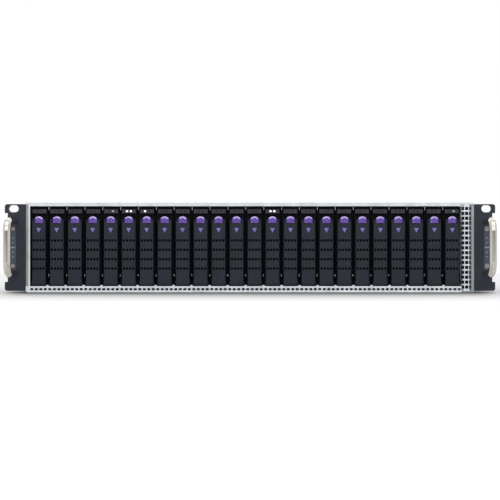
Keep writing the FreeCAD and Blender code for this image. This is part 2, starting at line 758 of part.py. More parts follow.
def handle(side):
    """Bow handle: one bevelled section swept along a bow that stands on the ear with both feet."""
    half_z = (HANDLE_HEIGHT - HANDLE_THICK) / 2
    reach = HANDLE_REACH - HANDLE_THICK / 2
    bend = HANDLE_CORNER - HANDLE_THICK / 2
    tip = ear_face - reach
    nook = bend * (1 - math.sqrt(0.5))
    top = middle_z + half_z
    low = middle_z - half_z
    x = handle_x
    points = [
        Vector(x, ear_face, low),
        Vector(x, tip + bend, low),
        Vector(x, tip, low + bend),
        Vector(x, tip, top - bend),
        Vector(x, tip + bend, top),
        Vector(x, ear_face, top),
    ]
    path = Part.Wire([
        Part.makeLine(points[0], points[1]),
        Part.Arc(points[1], Vector(x, tip + nook, low + nook), points[2]).toShape(),
        Part.makeLine(points[2], points[3]),
        Part.Arc(points[3], Vector(x, tip + nook, top - nook), points[4]).toShape(),
        Part.makeLine(points[4], points[5]),
    ])
    wide = HANDLE_WIDTH / 2
    thick = HANDLE_THICK / 2
    section = []
    for along, across in ((1, 1), (-1, 1), (-1, -1), (1, -1)):
        tall = Vector(x + along * (wide - HANDLE_BEVEL), ear_face, low + across * thick)
        short = Vector(x + along * wide, ear_face, low + across * (thick - HANDLE_BEVEL))
        section += [short, tall] if along == across else [tall, short]
    outline = Part.makePolygon(section + section[:1])
    bow = path.makePipeShell([outline], True, False)
    return mirrored(bow, side)


def key_cap(offset):
    """Round push button in the left control strip."""
    front = ear_face - KEY_PROUD
    z = middle_z + offset
    cap = rod(KEY_RADIUS, (-strip_x, front, z), (-strip_x, front + KEY_LENGTH, z))
    rim = [edge for edge in cap.Edges if abs(edge.BoundBox.YMax - front) < 1e-6]
    return cap.makeChamfer(KEY_EDGE, rim)


def control_strips():
    """One strip per ear: holes for two keys, light dots with a bar among them, plugs in the right strip."""
    front = ear_face - STRIP_PROUD
    back = ear_face + STRIP_RECESS
    proud = Vector(0, -DOT_PROUD, 0)
    solids = []
    for side in (-1, 1):
        x = side * strip_x
        strip = block(around(x, STRIP_WIDTH), (front, back), strip_range())
        cutters = []
        for offset in (-KEY_OFFSET, KEY_OFFSET):
            z = middle_z + offset
            cutters.append(rod(KEY_RADIUS + RUN_CLEAR, (x, front - OVERCUT, z), (x, back + OVERCUT, z)))
            if side > 0:
                plug = rod(KEY_RADIUS + RUN_CLEAR, (x, front, z), (x, back, z))
                solids.append(plug.translated(proud))
        for index in range(DOT_COUNT):
            z = middle_z + (index - (DOT_COUNT - 1) / 2) * DOT_PITCH
            width = BAR_WIDTH if index == DOT_COUNT // 2 else DOT_SIZE
            dot = block(around(x, width), (front, back), around(z, DOT_SIZE))
            cutters.append(dot)
            solids.append(dot.translated(proud))
        solids.append(strip.cut(cutters))
    return solids


# Backplane and fans

def backplane():
    board_x = (-wall_in + 2 * SHEET, bays_right)
    board_z = (SILL_HEIGHT, roof_z)
    board = block(board_x, (CAGE_DEPTH, backplane_end), board_z)
    slots = []
    connectors = []
    connector_low = carrier_bottom + RAIL_HEIGHT
    for index in range(BAY_COUNT):
        x = bay_middle(index)
        front = carrier_end + CONNECTOR_GAP
        connector_z = (connector_low, connector_low + CONNECTOR_HEIGHT)
        connectors.append(block(around(x, CONNECTOR_WIDTH), (front, CAGE_DEPTH), connector_z))
        slot_z = (connector_z[1] + AIR_SLOT_GAP, roof_z - AIR_SLOT_TOP)
        slot_y = (CAGE_DEPTH - OVERCUT, backplane_end + OVERCUT)
        slots.append(block(around(x, CONNECTOR_WIDTH), slot_y, slot_z))
    for index in range(PLUG_COUNT):
        x = bays_left + (index + 0.5) * (bays_right - bays_left) / PLUG_COUNT
        plug_y = (backplane_end, backplane_end + PLUG_DEPTH)
        plug_z = (SILL_HEIGHT + PLUG_RISE, SILL_HEIGHT + PLUG_RISE + PLUG_HEIGHT)
        connectors.append(block(around(x, PLUG_WIDTH), plug_y, plug_z))
    return [board.cut(slots)] + connectors


def fan_middles():
    return [board_middle + (index - (FAN_COUNT - 1) / 2) * FAN_PITCH for index in range(FAN_COUNT)]


def fan_bracket():
    """Wall behind the fans with a barred round opening for each and a pass-through for power cables."""
    wall = block((-wall_in, wall_in), (fan_back, fan_back + SHEET), (SHEET, wall_top - SHEET))
    foot = block((-wall_in, wall_in), (fan_back + SHEET, fan_back + BRACKET_FOOT), (SHEET, 2 * SHEET))
    cut_y = (fan_back - OVERCUT, fan_back + SHEET + OVERCUT)
    cutters = []
    for x in fan_middles():
        opening = rod(fan_bore, (x, cut_y[0], fan_z), (x, cut_y[1], fan_z))
        upright = block(around(x, GUARD_BAR), cut_y, around(fan_z, fan_size))
        crossbar = block(around(x, fan_size), cut_y, around(fan_z, GUARD_BAR))
        cutters.append(opening.cut([upright, crossbar]))
    pass_x = around((psu_left + psu_right) / 2, PSU_WIDTH - 2 * PASS_MARGIN)
    cutters.append(block(pass_x, cut_y, (PASS_SILL, wall_top - PASS_SILL)))
    return wall.fuse(foot).removeSplitter().cut(cutters)


def fan_frame(x):
    """Square frame with a round bore, and a motor plate with shaft on four struts at the back."""
    frame = block(around(x, fan_size), (fan_front, fan_back), around(fan_z, fan_size))
    bore = rod(fan_bore, (x, fan_front - OVERCUT, fan_z), (x, fan_back + OVERCUT, fan_z))
    ring = frame.cut(bore)
    plate_front = fan_back - FAN_PLATE
    plate = rod(FAN_HUB, (x, plate_front, fan_z), (x, fan_back, fan_z))
    shaft = rod(FAN_SHAFT, (x, fan_front + FAN_SHAFT_INSET, fan_z), (x, plate_front, fan_z))
    struts = []
    for turn in (45, 135):
        strut = block(around(0, 2 * fan_bore + FAN_RIM), (plate_front, fan_back), around(0, FAN_STRUT))
        strut.rotate(Vector(0, 0, 0), Vector(0, 1, 0), turn)
        strut.translate(Vector(x, 0, fan_z))
        struts.append(strut)
    return ring.fuse([plate, shaft] + struts).removeSplitter()


def blade_section(x, pitch, chord):
    """Cambered section across a fan blade at one distance from the axis."""
    turn = math.radians(pitch)
    along = Vector(0, math.sin(turn), math.cos(turn)) * (chord / 2)
    across = Vector(0, math.cos(turn), -math.sin(turn))
    middle = Vector(x, 0, 0)
    crown = middle + across * FAN_BLADE_CAMBER
    thick = across * FAN_BLADE_THICK
    return Part.Wire([
        Part.Arc(middle - along, crown, middle + along).toShape(),
        Part.makeLine(middle + along, middle + along + thick),
        Part.Arc(middle + along + thick, crown + thick, middle - along + thick).toShape(),
        Part.makeLine(middle - along + thick, middle - along),
    ])


def fan_rotor(x):
    """Hub with twisted blades, trimmed to a cylinder inside the frame bore."""
    front = fan_front + ROTOR_INSET
    back = fan_back - FAN_PLATE - ROTOR_GAP
    root = blade_section(FAN_HUB - FAN_BLADE_ROOT, FAN_ROOT_PITCH, FAN_ROOT_CHORD)
    tip = blade_section(fan_bore, FAN_TIP_PITCH, FAN_TIP_CHORD)
    blade = Part.makeLoft([root, tip], True, True)
    sweep = rod(fan_bore - FAN_TIP_CLEAR, (x, front, fan_z), (x, back, fan_z))
    blades = []
    for index in range(FAN_BLADES):
        copy = blade.copy()
        copy.rotate(Vector(0, 0, 0), Vector(0, 1, 0), index * 360 / FAN_BLADES)
        copy.translate(Vector(x, (front + back) / 2, fan_z))
        blades.append(copy.common(sweep))
    hub = rod(FAN_HUB, (x, front, fan_z), (x, back, fan_z))
    bore = rod(FAN_SHAFT + PIN_CLEAR, (x, front + HUB_CAP, fan_z), (x, back + OVERCUT, fan_z))
    return hub.fuse(blades).removeSplitter().cut(bore)


# Mainboard

def socket_middles():
    y = board_front + SOCKET_FRONT
    return [(board_middle + side * SOCKET_SPREAD / 2, y) for side in (-1, 1)]


def mainboard():
    """Board with its two processor sockets and a low chipset cooler."""
    solids = [block((board_left, board_right), (board_front, board_back), (board_bottom, board_top))]
    for x, y in socket_middles():
        socket_z = (board_top, board_top + SOCKET_HEIGHT)
        solids.append(block(around(x, SOCKET_WIDTH), around(y, SOCKET_DEPTH), socket_z))
    cooler_x = (board_right - COOLER_INSET - COOLER_SIZE, board_right - COOLER_INSET)
    cooler_y = (board_back - COOLER_SETBACK - COOLER_SIZE, board_back - COOLER_SETBACK)
    solids.append(block(cooler_x, cooler_y, (board_top, board_top + COOLER_HEIGHT)))
    return solids


def cpu_heatsinks():
    sinks = []
    low = board_top + SOCKET_HEIGHT
    high = wall_top - SINK_HEADROOM
    gap = (SOCKET_WIDTH - SINK_FIN) / (SINK_FINS - 1)
    for x, y in socket_middles():
        sink_y = around(y, SINK_DEPTH)
        base = block(around(x, SOCKET_WIDTH), sink_y, (low, low + SINK_BASE))
        fins = []
        for index in range(SINK_FINS):
            fin_x = x - SOCKET_WIDTH / 2 + index * gap
            fins.append(block((fin_x, fin_x + SINK_FIN), sink_y, (low, high)))
        sinks.append(base.fuse(fins).removeSplitter())
    return sinks


def memory_slots():
    slots = []
    for socket_x, socket_y in socket_middles():
        for side in (-1, 1):
            for index in range(MEMORY_PER_BANK):
                x = socket_x + side * (SOCKET_WIDTH / 2 + MEMORY_GAP + index * MEMORY_PITCH)
                slot_y = around(socket_y, MEMORY_LENGTH)
                body = block(around(x, MEMORY_WIDTH), slot_y, (board_top, board_top + MEMORY_HEIGHT))
                latches = []
                for end in slot_y:
                    inward = MEMORY_LATCH_LENGTH if end < socket_y else -MEMORY_LATCH_LENGTH
                    latch_z = (board_top, board_top + MEMORY_LATCH)
                    latches.append(block(around(x, MEMORY_WIDTH), (end, end + inward), latch_z))
                groove_z = (board_top + MEMORY_FLOOR, board_top + MEMORY_LATCH + OVERCUT)
                groove_y = (slot_y[0] + MEMORY_END, slot_y[1] - MEMORY_END)
                groove = block(around(x, MEMORY_GROOVE), groove_y, groove_z)
                slots.append(body.fuse(latches).removeSplitter().cut(groove))
    return slots


def slot_middles():
    return [slots_right - (index + 0.5) * SLOT_PITCH for index in range(slot_count)]


def board_connectors():
    """Card slots at the rear, cable headers at the front edge of the board."""
    solids = []
    slot_end = board_back - CARD_SLOT_SETBACK
    slot_y = (slot_end - CARD_SLOT_LENGTH, slot_end)
    for x in slot_middles():
        solids.append(block(around(x, CARD_SLOT_WIDTH), slot_y, (board_top, board_top + CARD_SLOT_HEIGHT)))
    header_y = (board_front + HEADER_SETBACK, board_front + HEADER_SETBACK + HEADER_DEPTH)
    for index in range(HEADER_COUNT):
        x = board_left + HEADER_PITCH * (index + 1.5)
        solids.append(block(around(x, HEADER_WIDTH), header_y, (board_top, board_top + HEADER_HEIGHT)))
    power_end = board_right - HEADER_PITCH
    power_x = (power_end - POWER_HEADER_WIDTH, power_end)
    solids.append(block(power_x, header_y, (board_top, board_top + POWER_HEADER_HEIGHT)))
    return solids


# Rear panel, ports and power supplies

def port_list():
    """Kind, middle x, width and height of each port along the rear edge."""
    ports = []
    x = slots_right + SLOT_START
    for kind in PORT_ROW:
        width, height = PORT_SIZES[kind]
        ports.append((kind, x + width / 2, width, height))
        x += width + PORT_SPACE
    return ports


def network_socket(port, x, middle, back):
    mouth_y = (back - RJ_MOUTH_DEPTH, back + OVERCUT)
    mouth = block(around(x, RJ_MOUTH_WIDTH), mouth_y, around(middle, RJ_MOUTH_HEIGHT))
    return port.cut(mouth)


def usb_stack(port, x, middle, back):
    mouths = []
    for side in (-1, 1):
        z = middle + side * PORT_SIZES["usb"][1] / 4
        mouth_y = (back - USB_DEPTH, back + OVERCUT)
        mouth = block(around(x, USB_MOUTH_WIDTH), mouth_y, around(z, USB_MOUTH_HEIGHT))
        tongue_y = (back - USB_DEPTH, back - USB_TONGUE_SETBACK)
        tongue = block(around(x, USB_TONGUE_WIDTH), tongue_y, around(z, USB_TONGUE))
        mouths.append(mouth.cut(tongue))
    return port.cut(mouths)


def dsub_plug(port, x, middle, back):
    half = DSUB_BOSS_WIDTH / 2
    high = DSUB_BOSS_HEIGHT / 2
    slant = DSUB_BOSS_HEIGHT * math.tan(math.radians(DSUB_SLANT))
    outline = [
        (x - half, back, middle + high),
        (x + half, back, middle + high),
        (x + half - slant, back, middle - high),
        (x - half + slant, back, middle - high),
    ]
    return port.fuse(prism(outline, (0, DSUB_BOSS_REACH, 0)))


def rear_ports():
    shapes = {"rj": network_socket, "usb": usb_stack, "dsub": dsub_plug}
    back = body_depth + PORT_PROUD
    solids = []
    for kind, x, width, height in port_list():
        port = block(around(x, width), (body_depth - PORT_BODY, back), (board_top, board_top + height))
        solids.append(shapes[kind](port, x, board_top + height / 2, back))
    return solids


def slot_opening_z():
    return (board_top + SLOT_MARGIN, wall_top - SLOT_MARGIN)


def slot_covers():
    covers = []
    for x in slot_middles():
        cover_z = (slot_opening_z()[0] - SLOT_COVER_LAP, slot_opening_z()[1] + SLOT_COVER_LAP)
        cover_y = (body_depth - SHEET - SLOT_COVER_THICK, body_depth - SHEET)
        covers.append(block(around(x, SLOT_COVER_WIDTH), cover_y, cover_z))
    return covers


def rear_vents():
    """Cutters for the vent field above the ports and the column beside the card slots."""
    y = (body_depth - SHEET - OVERCUT, body_depth + OVERCUT)
    middle = (slots_right + board_right) / 2
    cutters = []
    for row in range(REAR_VENT_ROWS):
        z = wall_top - REAR_VENT_DROP - row * REAR_VENT_PITCH_Z
        for column in range(REAR_VENT_COLUMNS):
            x = middle + (column - (REAR_VENT_COLUMNS - 1) / 2) * REAR_VENT_PITCH_X
            cutters.append(block(around(x, REAR_VENT_WIDTH), y, around(z, REAR_VENT_HEIGHT)))
    side_middle = (-wall_in + board_left) / 2
    for row in range(SIDE_VENT_ROWS):
        z = wall_top - REAR_VENT_DROP - row * REAR_VENT_PITCH_Z
        cutters.append(block(around(side_middle, REAR_VENT_WIDTH), y, around(z, REAR_VENT_HEIGHT)))
    return cutters


def psu_low(index):
    return SHEET + PSU_GAP if index == 0 else shelf_z + SHEET + PSU_GAP


def rear_panel():
    """Rear wall with its openings, and the divider and shelf that make two power supply bays."""
    y = (body_depth - SHEET, body_depth)
    cut_y = (y[0] - OVERCUT, y[1] + OVERCUT)
    wall = block((-wall_in, wall_in), y, (SHEET, wall_top))
    bay_y = (psu_front, y[0])
    divider_x = (psu_left - PSU_GAP - SHEET, psu_left - PSU_GAP)
    divider = block(divider_x, bay_y, (SHEET, wall_top - SHEET))
    shelf = block((divider_x[1], wall_in), bay_y, (shelf_z, shelf_z + SHEET))
    cutters = rear_vents()
    for index in (0, 1):
        window_z = (psu_low(index) - PSU_GAP / 2, psu_low(index) + psu_height + PSU_GAP / 2)
        cutters.append(block((psu_left - PSU_GAP / 2, psu_right + PSU_GAP / 2), cut_y, window_z))
    for kind, x, width, height in port_list():
        port_z = (board_top - PORT_CLEAR, board_top + height + PORT_CLEAR)
        cutters.append(block(around(x, width + 2 * PORT_CLEAR), cut_y, port_z))
    for x in slot_middles():
        cutters.append(block(around(x, SLOT_OPENING), cut_y, slot_opening_z()))
    return wall.fuse([divider, shelf]).removeSplitter().cut(cutters)


def latch_x():
    return psu_right - PSU_LATCH_WIDTH / 2 - PSU_LATCH_INSET


def psu_handle(middle):
    """Small round-cornered bow handle between the inlet and the exhaust grille."""
    x = psu_left + INLET_INSET + INLET_WIDTH / 2 + PSU_HANDLE_GAP
    outer_z = around(middle, PSU_HANDLE_SPAN)
    outer = block(around(x, PSU_HANDLE_BAR), (psu_face, rear_end), outer_z)
    outer = outer.makeFillet(PSU_HANDLE_CORNER, edges_along("x", outer, [rear_end], outer_z))
    gap_z = around(middle, PSU_HANDLE_SPAN - 2 * PSU_HANDLE_BAR)
    gap_end = rear_end - PSU_HANDLE_BAR
    gap = block(around(x, PSU_HANDLE_BAR + 2 * OVERCUT), (psu_face, gap_end), gap_z)
    return outer.cut(gap)


def power_supply(index):
    """Closed supply with mains inlet, exhaust grille, handle and a slot for its latch."""
    low = psu_low(index)
    middle = low + psu_height / 2
    housing = block((psu_left, psu_right), (psu_front + PSU_FRONT_GAP, psu_face), (low, low + psu_height))
    inlet_x = psu_left + INLET_INSET
    inlet_y = (psu_face - INLET_DEPTH, psu_face + OVERCUT)
    cutters = [block(around(inlet_x, INLET_WIDTH), inlet_y, around(middle, INLET_HEIGHT))]
    grille_end = latch_x() - PSU_LATCH_WIDTH / 2 - PSU_LATCH_TRAVEL - GRILLE_MARGIN
    grille_x = (inlet_x + INLET_WIDTH / 2 + GRILLE_GAP, grille_end)
    grille_y = (psu_face - GRILLE_DEPTH, psu_face + OVERCUT)
    for step in range(GRILLE_SLOTS):
        z = middle + (step - (GRILLE_SLOTS - 1) / 2) * psu_height / (GRILLE_SLOTS + 1)
        cutters.append(block(grille_x, grille_y, around(z, GRILLE_SLOT)))
    stem_half = PSU_LATCH_STEM_WIDTH / 2 + RUN_CLEAR
    pocket_x = (latch_x() - stem_half - PSU_LATCH_TRAVEL, latch_x() + stem_half)
    pocket_y = (psu_face - PSU_LATCH_POCKET, psu_face + OVERCUT)
    cutters.append(block(pocket_x, pocket_y, around(middle, PSU_LATCH_STEM + 2 * RUN_CLEAR)))
    pin_y = (psu_face - INLET_DEPTH, psu_face - INLET_PIN_SETBACK)
    pins = []
    for step, rise in ((-1, -INLET_PIN_DROP), (0, INLET_EARTH_RISE), (1, -INLET_PIN_DROP)):
        pin_x = around(inlet_x + step * INLET_PIN_SPACING, INLET_PIN)
        pins.append(block(pin_x, pin_y, around(middle + rise, INLET_PIN_HEIGHT)))
    return housing.cut(cutters).fuse(pins + [psu_handle(middle)]).removeSplitter()


def psu_latch(index):
    """Squeeze tab with a stem that rides in the slot of the supply's face."""
    middle = psu_low(index) + psu_height / 2
    tab_y = (psu_face + RUN_CLEAR, psu_face + PSU_LATCH_REACH)
    tab = block(around(latch_x(), PSU_LATCH_WIDTH), tab_y, around(middle, PSU_LATCH_HEIGHT))
    outer_edges = [edge for edge in tab.Edges if edge.BoundBox.YMin > tab_y[0] + OVERCUT]
    tab = tab.makeFillet(PSU_LATCH_ROUND, outer_edges)
    stem_y = (psu_face - PSU_LATCH_STEM_LENGTH, tab_y[0])
    stem = block(around(latch_x(), PSU_LATCH_STEM_WIDTH), stem_y, around(middle, PSU_LATCH_STEM))
    return tab.fuse(stem).removeSplitter()


def screws():
    """Screws that hold the ear leaves to the side walls."""
    solids = []
    for side in (-1, 1):
        seat = side * (wall_out + EAR_LEAF_THICK)
        for y in ear_screw_depths():
            head_end = seat + side * SCREW_HEAD_HEIGHT
            head = rod(SCREW_HEAD, (seat, y, middle_z), (head_end, y, middle_z))
            shank = rod(SCREW_RADIUS, (side * wall_in, y, middle_z), (seat, y, middle_z))
            solids.append(head.fuse(shank))
    return solids


# Assembly and export

def carrier_nodes():
    """Every bay has a carrier; the first few have their lever and button as nodes of their own."""
    inside = [drive_blank()] + light_pipes()
    button = release_button()
    hinged_carrier = [carrier_frame(True)] + inside
    hinged_lever = lever(True)
    joined_carrier = [carrier_frame(False)] + inside + [lever(False), button]
    nodes = {}
    for index in range(BAY_COUNT):
        offset = Vector(bay_middle(index), 0, 0)
        name = "%02d" % (index + 1)
        hinged = index < ARTICULATED_BAYS
        if hinged:
            nodes["lever_" + name] = hinged_lever.translated(offset)
            nodes["release_button_" + name] = button.translated(offset)
        solids = hinged_carrier if hinged else joined_carrier
        nodes["carrier_" + name] = [solid.translated(offset) for solid in solids]
    return nodes


def all_nodes():
    nodes = {
        "chassis_base": chassis_base(),
        "rear_panel": rear_panel(),
        "drive_cage": drive_cage(),
        "front_vent": front_vent(),
        "rack_ear_left": rack_ear(-1),
        "rack_ear_right": rack_ear(1),
        "handle_left": handle(-1),
        "handle_right": handle(1),
        "control_strips": control_strips(),
        "power_button": key_cap(KEY_OFFSET),
        "id_button": key_cap(-KEY_OFFSET),
        "front_cover": front_cover(),
        "rear_cover": rear_cover(),
        "backplane": backplane(),
        "fan_bracket": fan_bracket(),
        "fan_frames": [fan_frame(x) for x in fan_middles()],
        "mainboard": mainboard(),
        "board_connectors": board_connectors(),
        "cpu_heatsinks": cpu_heatsinks(),
        "memory_slots": memory_slots(),
        "slot_covers": slot_covers(),
        "rear_ports": rear_ports(),
        "screws": screws(),
    }
    for index, x in enumerate(fan_middles()):
        nodes["fan_rotor_%d" % (index + 1)] = fan_rotor(x)
    for index in (0, 1):
        nodes["psu_%d" % (index + 1)] = power_supply(index)
        nodes["psu_%d_latch" % (index + 1)] = psu_latch(index)
    nodes.update(carrier_nodes())
    return nodes


os.makedirs("parts", exist_ok=True)
for name, solids in all_nodes().items():
    if not isinstance(solids, list):
        solids = [solids]
    placed = [solid.translated(origin_shift) for solid in solids]
    shape = placed[0] if len(placed) == 1 else Part.makeCompound(placed)
    shape.exportStep("parts/" + name + ".step")
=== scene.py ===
"""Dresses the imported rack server: camera, studio light, procedural materials and small fittings."""

import math
import random

import bmesh
import bpy
from mathutils import Matrix, Vector


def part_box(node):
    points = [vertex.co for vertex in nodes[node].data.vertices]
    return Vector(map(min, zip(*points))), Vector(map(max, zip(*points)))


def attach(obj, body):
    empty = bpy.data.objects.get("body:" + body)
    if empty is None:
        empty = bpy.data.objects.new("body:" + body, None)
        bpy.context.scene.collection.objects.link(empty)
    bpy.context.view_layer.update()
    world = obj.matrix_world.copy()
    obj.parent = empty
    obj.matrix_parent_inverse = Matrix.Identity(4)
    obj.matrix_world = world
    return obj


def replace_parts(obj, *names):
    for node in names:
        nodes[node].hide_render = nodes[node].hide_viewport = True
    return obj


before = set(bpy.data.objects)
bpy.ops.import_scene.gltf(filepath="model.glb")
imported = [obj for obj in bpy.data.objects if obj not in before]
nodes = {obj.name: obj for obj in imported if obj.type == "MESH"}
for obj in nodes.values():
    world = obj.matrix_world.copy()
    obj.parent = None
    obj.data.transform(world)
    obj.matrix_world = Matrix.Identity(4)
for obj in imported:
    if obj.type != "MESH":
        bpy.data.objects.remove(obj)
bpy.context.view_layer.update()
MM = 0.001

# Lengths are in millimetres, in the part's own frame: x to the right, y to the back, z up.
# Values that end in MOST or LEAST tell the solids of one node apart by their sizes.

# Camera
CAMERA_DISTANCE = 1200.0
CAMERA_HEIGHT = 41.5
VIEW_WIDTH = 491.7
SENSOR = 36.0

# Carriers
BAY_COUNT = 24
HINGED_BAYS = 3
PIPE_MOST = 3.0
BUTTON_MOST = 10.0
LEVER_MOST = 10.0
DRIVE_MOST = 120.0
DRIVE_SETBACK = 20.0
BUTTON_EDGE_LOW = 71.6
BUTTON_FOOT_LOW = 67.8
BUTTON_FOOT_HIGH = 69.6
PLATE_LOW = 77.6
PLATE_HIGH = 81.8
PLATE_HALF = 6.8
PLATE_REACH = 8.0
PIPE_OFFSET = 1.9
PIPE_HALF = 1.1
MARK_WIDTH = 4.6
MARK_HEIGHT = 4.5
MARK_LOW = 58.6
MARK_THICK = 0.12

# Light pipes that are bright or faint, by bay; -1 is a carrier's left pipe and 1 its right one
LIT_PIPES = {6: (-1, 1), 7: (-1,), 14: (-1, 1)}
FAINT_PIPES = {5: (1,), 24: (1,)}

# Cage, control strips, hem and vent strip
DIVIDER_MOST = 3.0
CLIP_SETBACK = 7.4
CLIP_LOW = 15.4
CLIP_HEIGHT = 2.2
CLIP_LENGTH = 4.0
CLIP_HALF = 0.45
CLIP_EDGE = 0.4
TAB_SETBACK = 7.2
TAB_LOW = 80.9
TAB_HIGH = 84.0
TAB_HALF = 0.3
TAB_EDGE = 0.2
TAB_SHIFT = 0.3
DOT_MOST = 2.0
STRIP_LEAST = 20.0
HEM_X = 215.0
HEM_LOW = 3.0
HEM_REACH = 6.0
VENT_FLAT = 4.4
VENT_SHEET = 0.8
VENT_FOLD_DEGREES = 45.0
SHADE_FOAM_GAP = 0.35
SHADE_FOAM_REACH = 6.5

# Screws and rivets on the ears, the side walls and the covers
SCREW_HEAD = 1.4
WALL_X = 218.6
RIVET_RADIUS = 2.4
RIVET_HEIGHTS = (10.0, 70.0)
RIVET_FROM_FRONT = 60.0
RIVET_FROM_CAGE_END = 15.0
RIVET_FROM_FAN_END = 6.0
RIVET_MIDDLE = (60.0, 200.0)
RIVET_FROM_REAR = 10.0
COVER_SHEET = 1.5
COVER_SCREW = 2.6
LOW_HEAD = 0.18
FRONT_SCREWS_X = (-190.0, -65.0, 65.0, 190.0)
FRONT_SCREWS_INSET = (14.0, 12.0)
REAR_SCREWS_X = (-205.0, 205.0)
REAR_SCREWS_INSET = (30.0, 40.0)

# Rear panel with its card slots, sockets and plugs
REAR_FACE = 326.0
PANEL_SCREW = 2.3
SLOT_COUNT = 7
SLOT_COVER_WIDTH = 18.4
SLOT_SCREW_RISE = 1.2
FOOT_SCREWS_X = (-205.0, 126.0)
FOOT_SCREWS_Z = 8.0
MOUTH_WALL = 0.6
MOUTH_FACE = 327.3
SOCKET_LEAST = 15.0
SOCKET_MOST = 17.0
SPRING_COUNT = 8
SPRING_PITCH = 1.02
SPRING_HALF = 0.25
SPRING_DEEP = 11.5
SPRING_SHALLOW = 3.0
SPRING_LOW = 9.0
SPRING_HIGH = 9.6
SPRING_EDGE = 0.1
PLUG_LEAST = 30.0
PLUG_HALF_WIDTH = 7.7
PLUG_HALF_HEIGHT = 3.3
PLUG_SLANT = 1.2
PLUG_INSERT = 0.2
PIN_ROWS = ((-1.4, 4), (1.4, 5))
PIN_PITCH = 2.7
JACK_FACE = 327.6
JACK_OFFSET = 12.4

# Power supplies
SUPPLIES = ("psu_1", "psu_2")
PSU_FACE = 327.0
INLET_X = 18.0
INLET_HALF_WIDTH = 13.5
INLET_HALF_HEIGHT = 10.0
INLET_DEPTH = 16.0
INLET_WALL = 1.0
INLET_SKIN = 0.1
SHROUD_RIM = 2.2
SHROUD_SINK = 0.2
SHROUD_PROUD = 1.4
SHROUD_EDGE = 0.5
PSU_SCREW = 1.9
PSU_SCREW_X = 3.4
PSU_SCREW_INSET = 3.6
PSU_LAMP_X = 5.5
PSU_LAMP_RISE = 4.6

# Turned outlines in rows of radius and height, from the face that carries them
LAMP_OUTLINE = ((1.4, -0.2), (1.4, 0.5), (1.0, 0.9), (0.4, 1.1), (0.05, 1.12))
JACK_OUTLINE = ((2.5, -0.2), (2.5, 3.0), (2.1, 3.4), (1.5, 3.4), (1.4, 1.6), (0.05, 1.6))
PIN_OUTLINE = ((0.5, -0.5), (0.5, 0.5), (0.25, 0.8), (0.05, 0.85))
CAN_OUTLINE = ((2.6, 0.0), (2.6, 1.0), (2.34, 1.3), (2.6, 1.6), (2.6, 6.6), (2.21, 7.0), (0.05, 7.0))

# Parts on the mainboard
BOARD_LEAST = 200.0
COOLER_LEAST = 8.0
BOARD_SEED = 7
BOARD_TRIES = 900
BOARD_MARGIN = 3.0
BOARD_REAR_MARGIN = 12.0
PART_GAP = 1.0
CHIP_HALVES = (2.0, 7.0)
CHIP_HEIGHT = 1.4
CHIP_EDGE = 0.2
COIL_HALF = 3.4
COIL_HEIGHT = 4.6
COIL_EDGE = 0.7
CAN_HALF = CAN_OUTLINE[0][0]

# Least share of an axis in the normal of a face that looks along it, and in that of a button's bevel
FACING = 0.9
BUTTON_EDGE_LEAN = 0.42

# Edges of small pieces that bend more than this many degrees stay sharp
SHARP_DEGREES = 35.0

# Stage; its lengths are in metres
WORLD_LIGHT = 0.4
ROOM_LEVEL = 0.35
ROOM_EDGE = (0.90, 0.985)
FLOOR_REACH = 2.5
FLOOR_STEPS = 96
FLOOR_DROP = 0.0002
FLOOR_NEAR = 0.6
FLOOR_COLOUR = 0.8
FLOOR_ROUGHNESS = 0.9
FLOOR_LIFT = 0.28
SHADOW_REACH = 0.22
SHADOW_SAMPLES = 16
SHADOW_DEPTH = 3.2
SIDE_SHADOW_DEPTH = 0.5
SHADOW_EDGE = (-0.34, -0.22)
SHADOW_SIDE = (0.215, 0.245)

# Area lamps: name, place, target, width and height, and power in watts
LAMPS = (
    ("front", (0, -2.2, 1.3), (0, -0.3, 0.04), (3.0, 1.4), 14.0),
    ("top", (0, -0.75, 1.5), (0, -0.36, 0.04), (2.4, 0.9), 9.0),
    ("back", (0, 1.2, 1.9), (0, 0.1, 0.0), (3.0, 2.0), 13.0),
)


# Materials

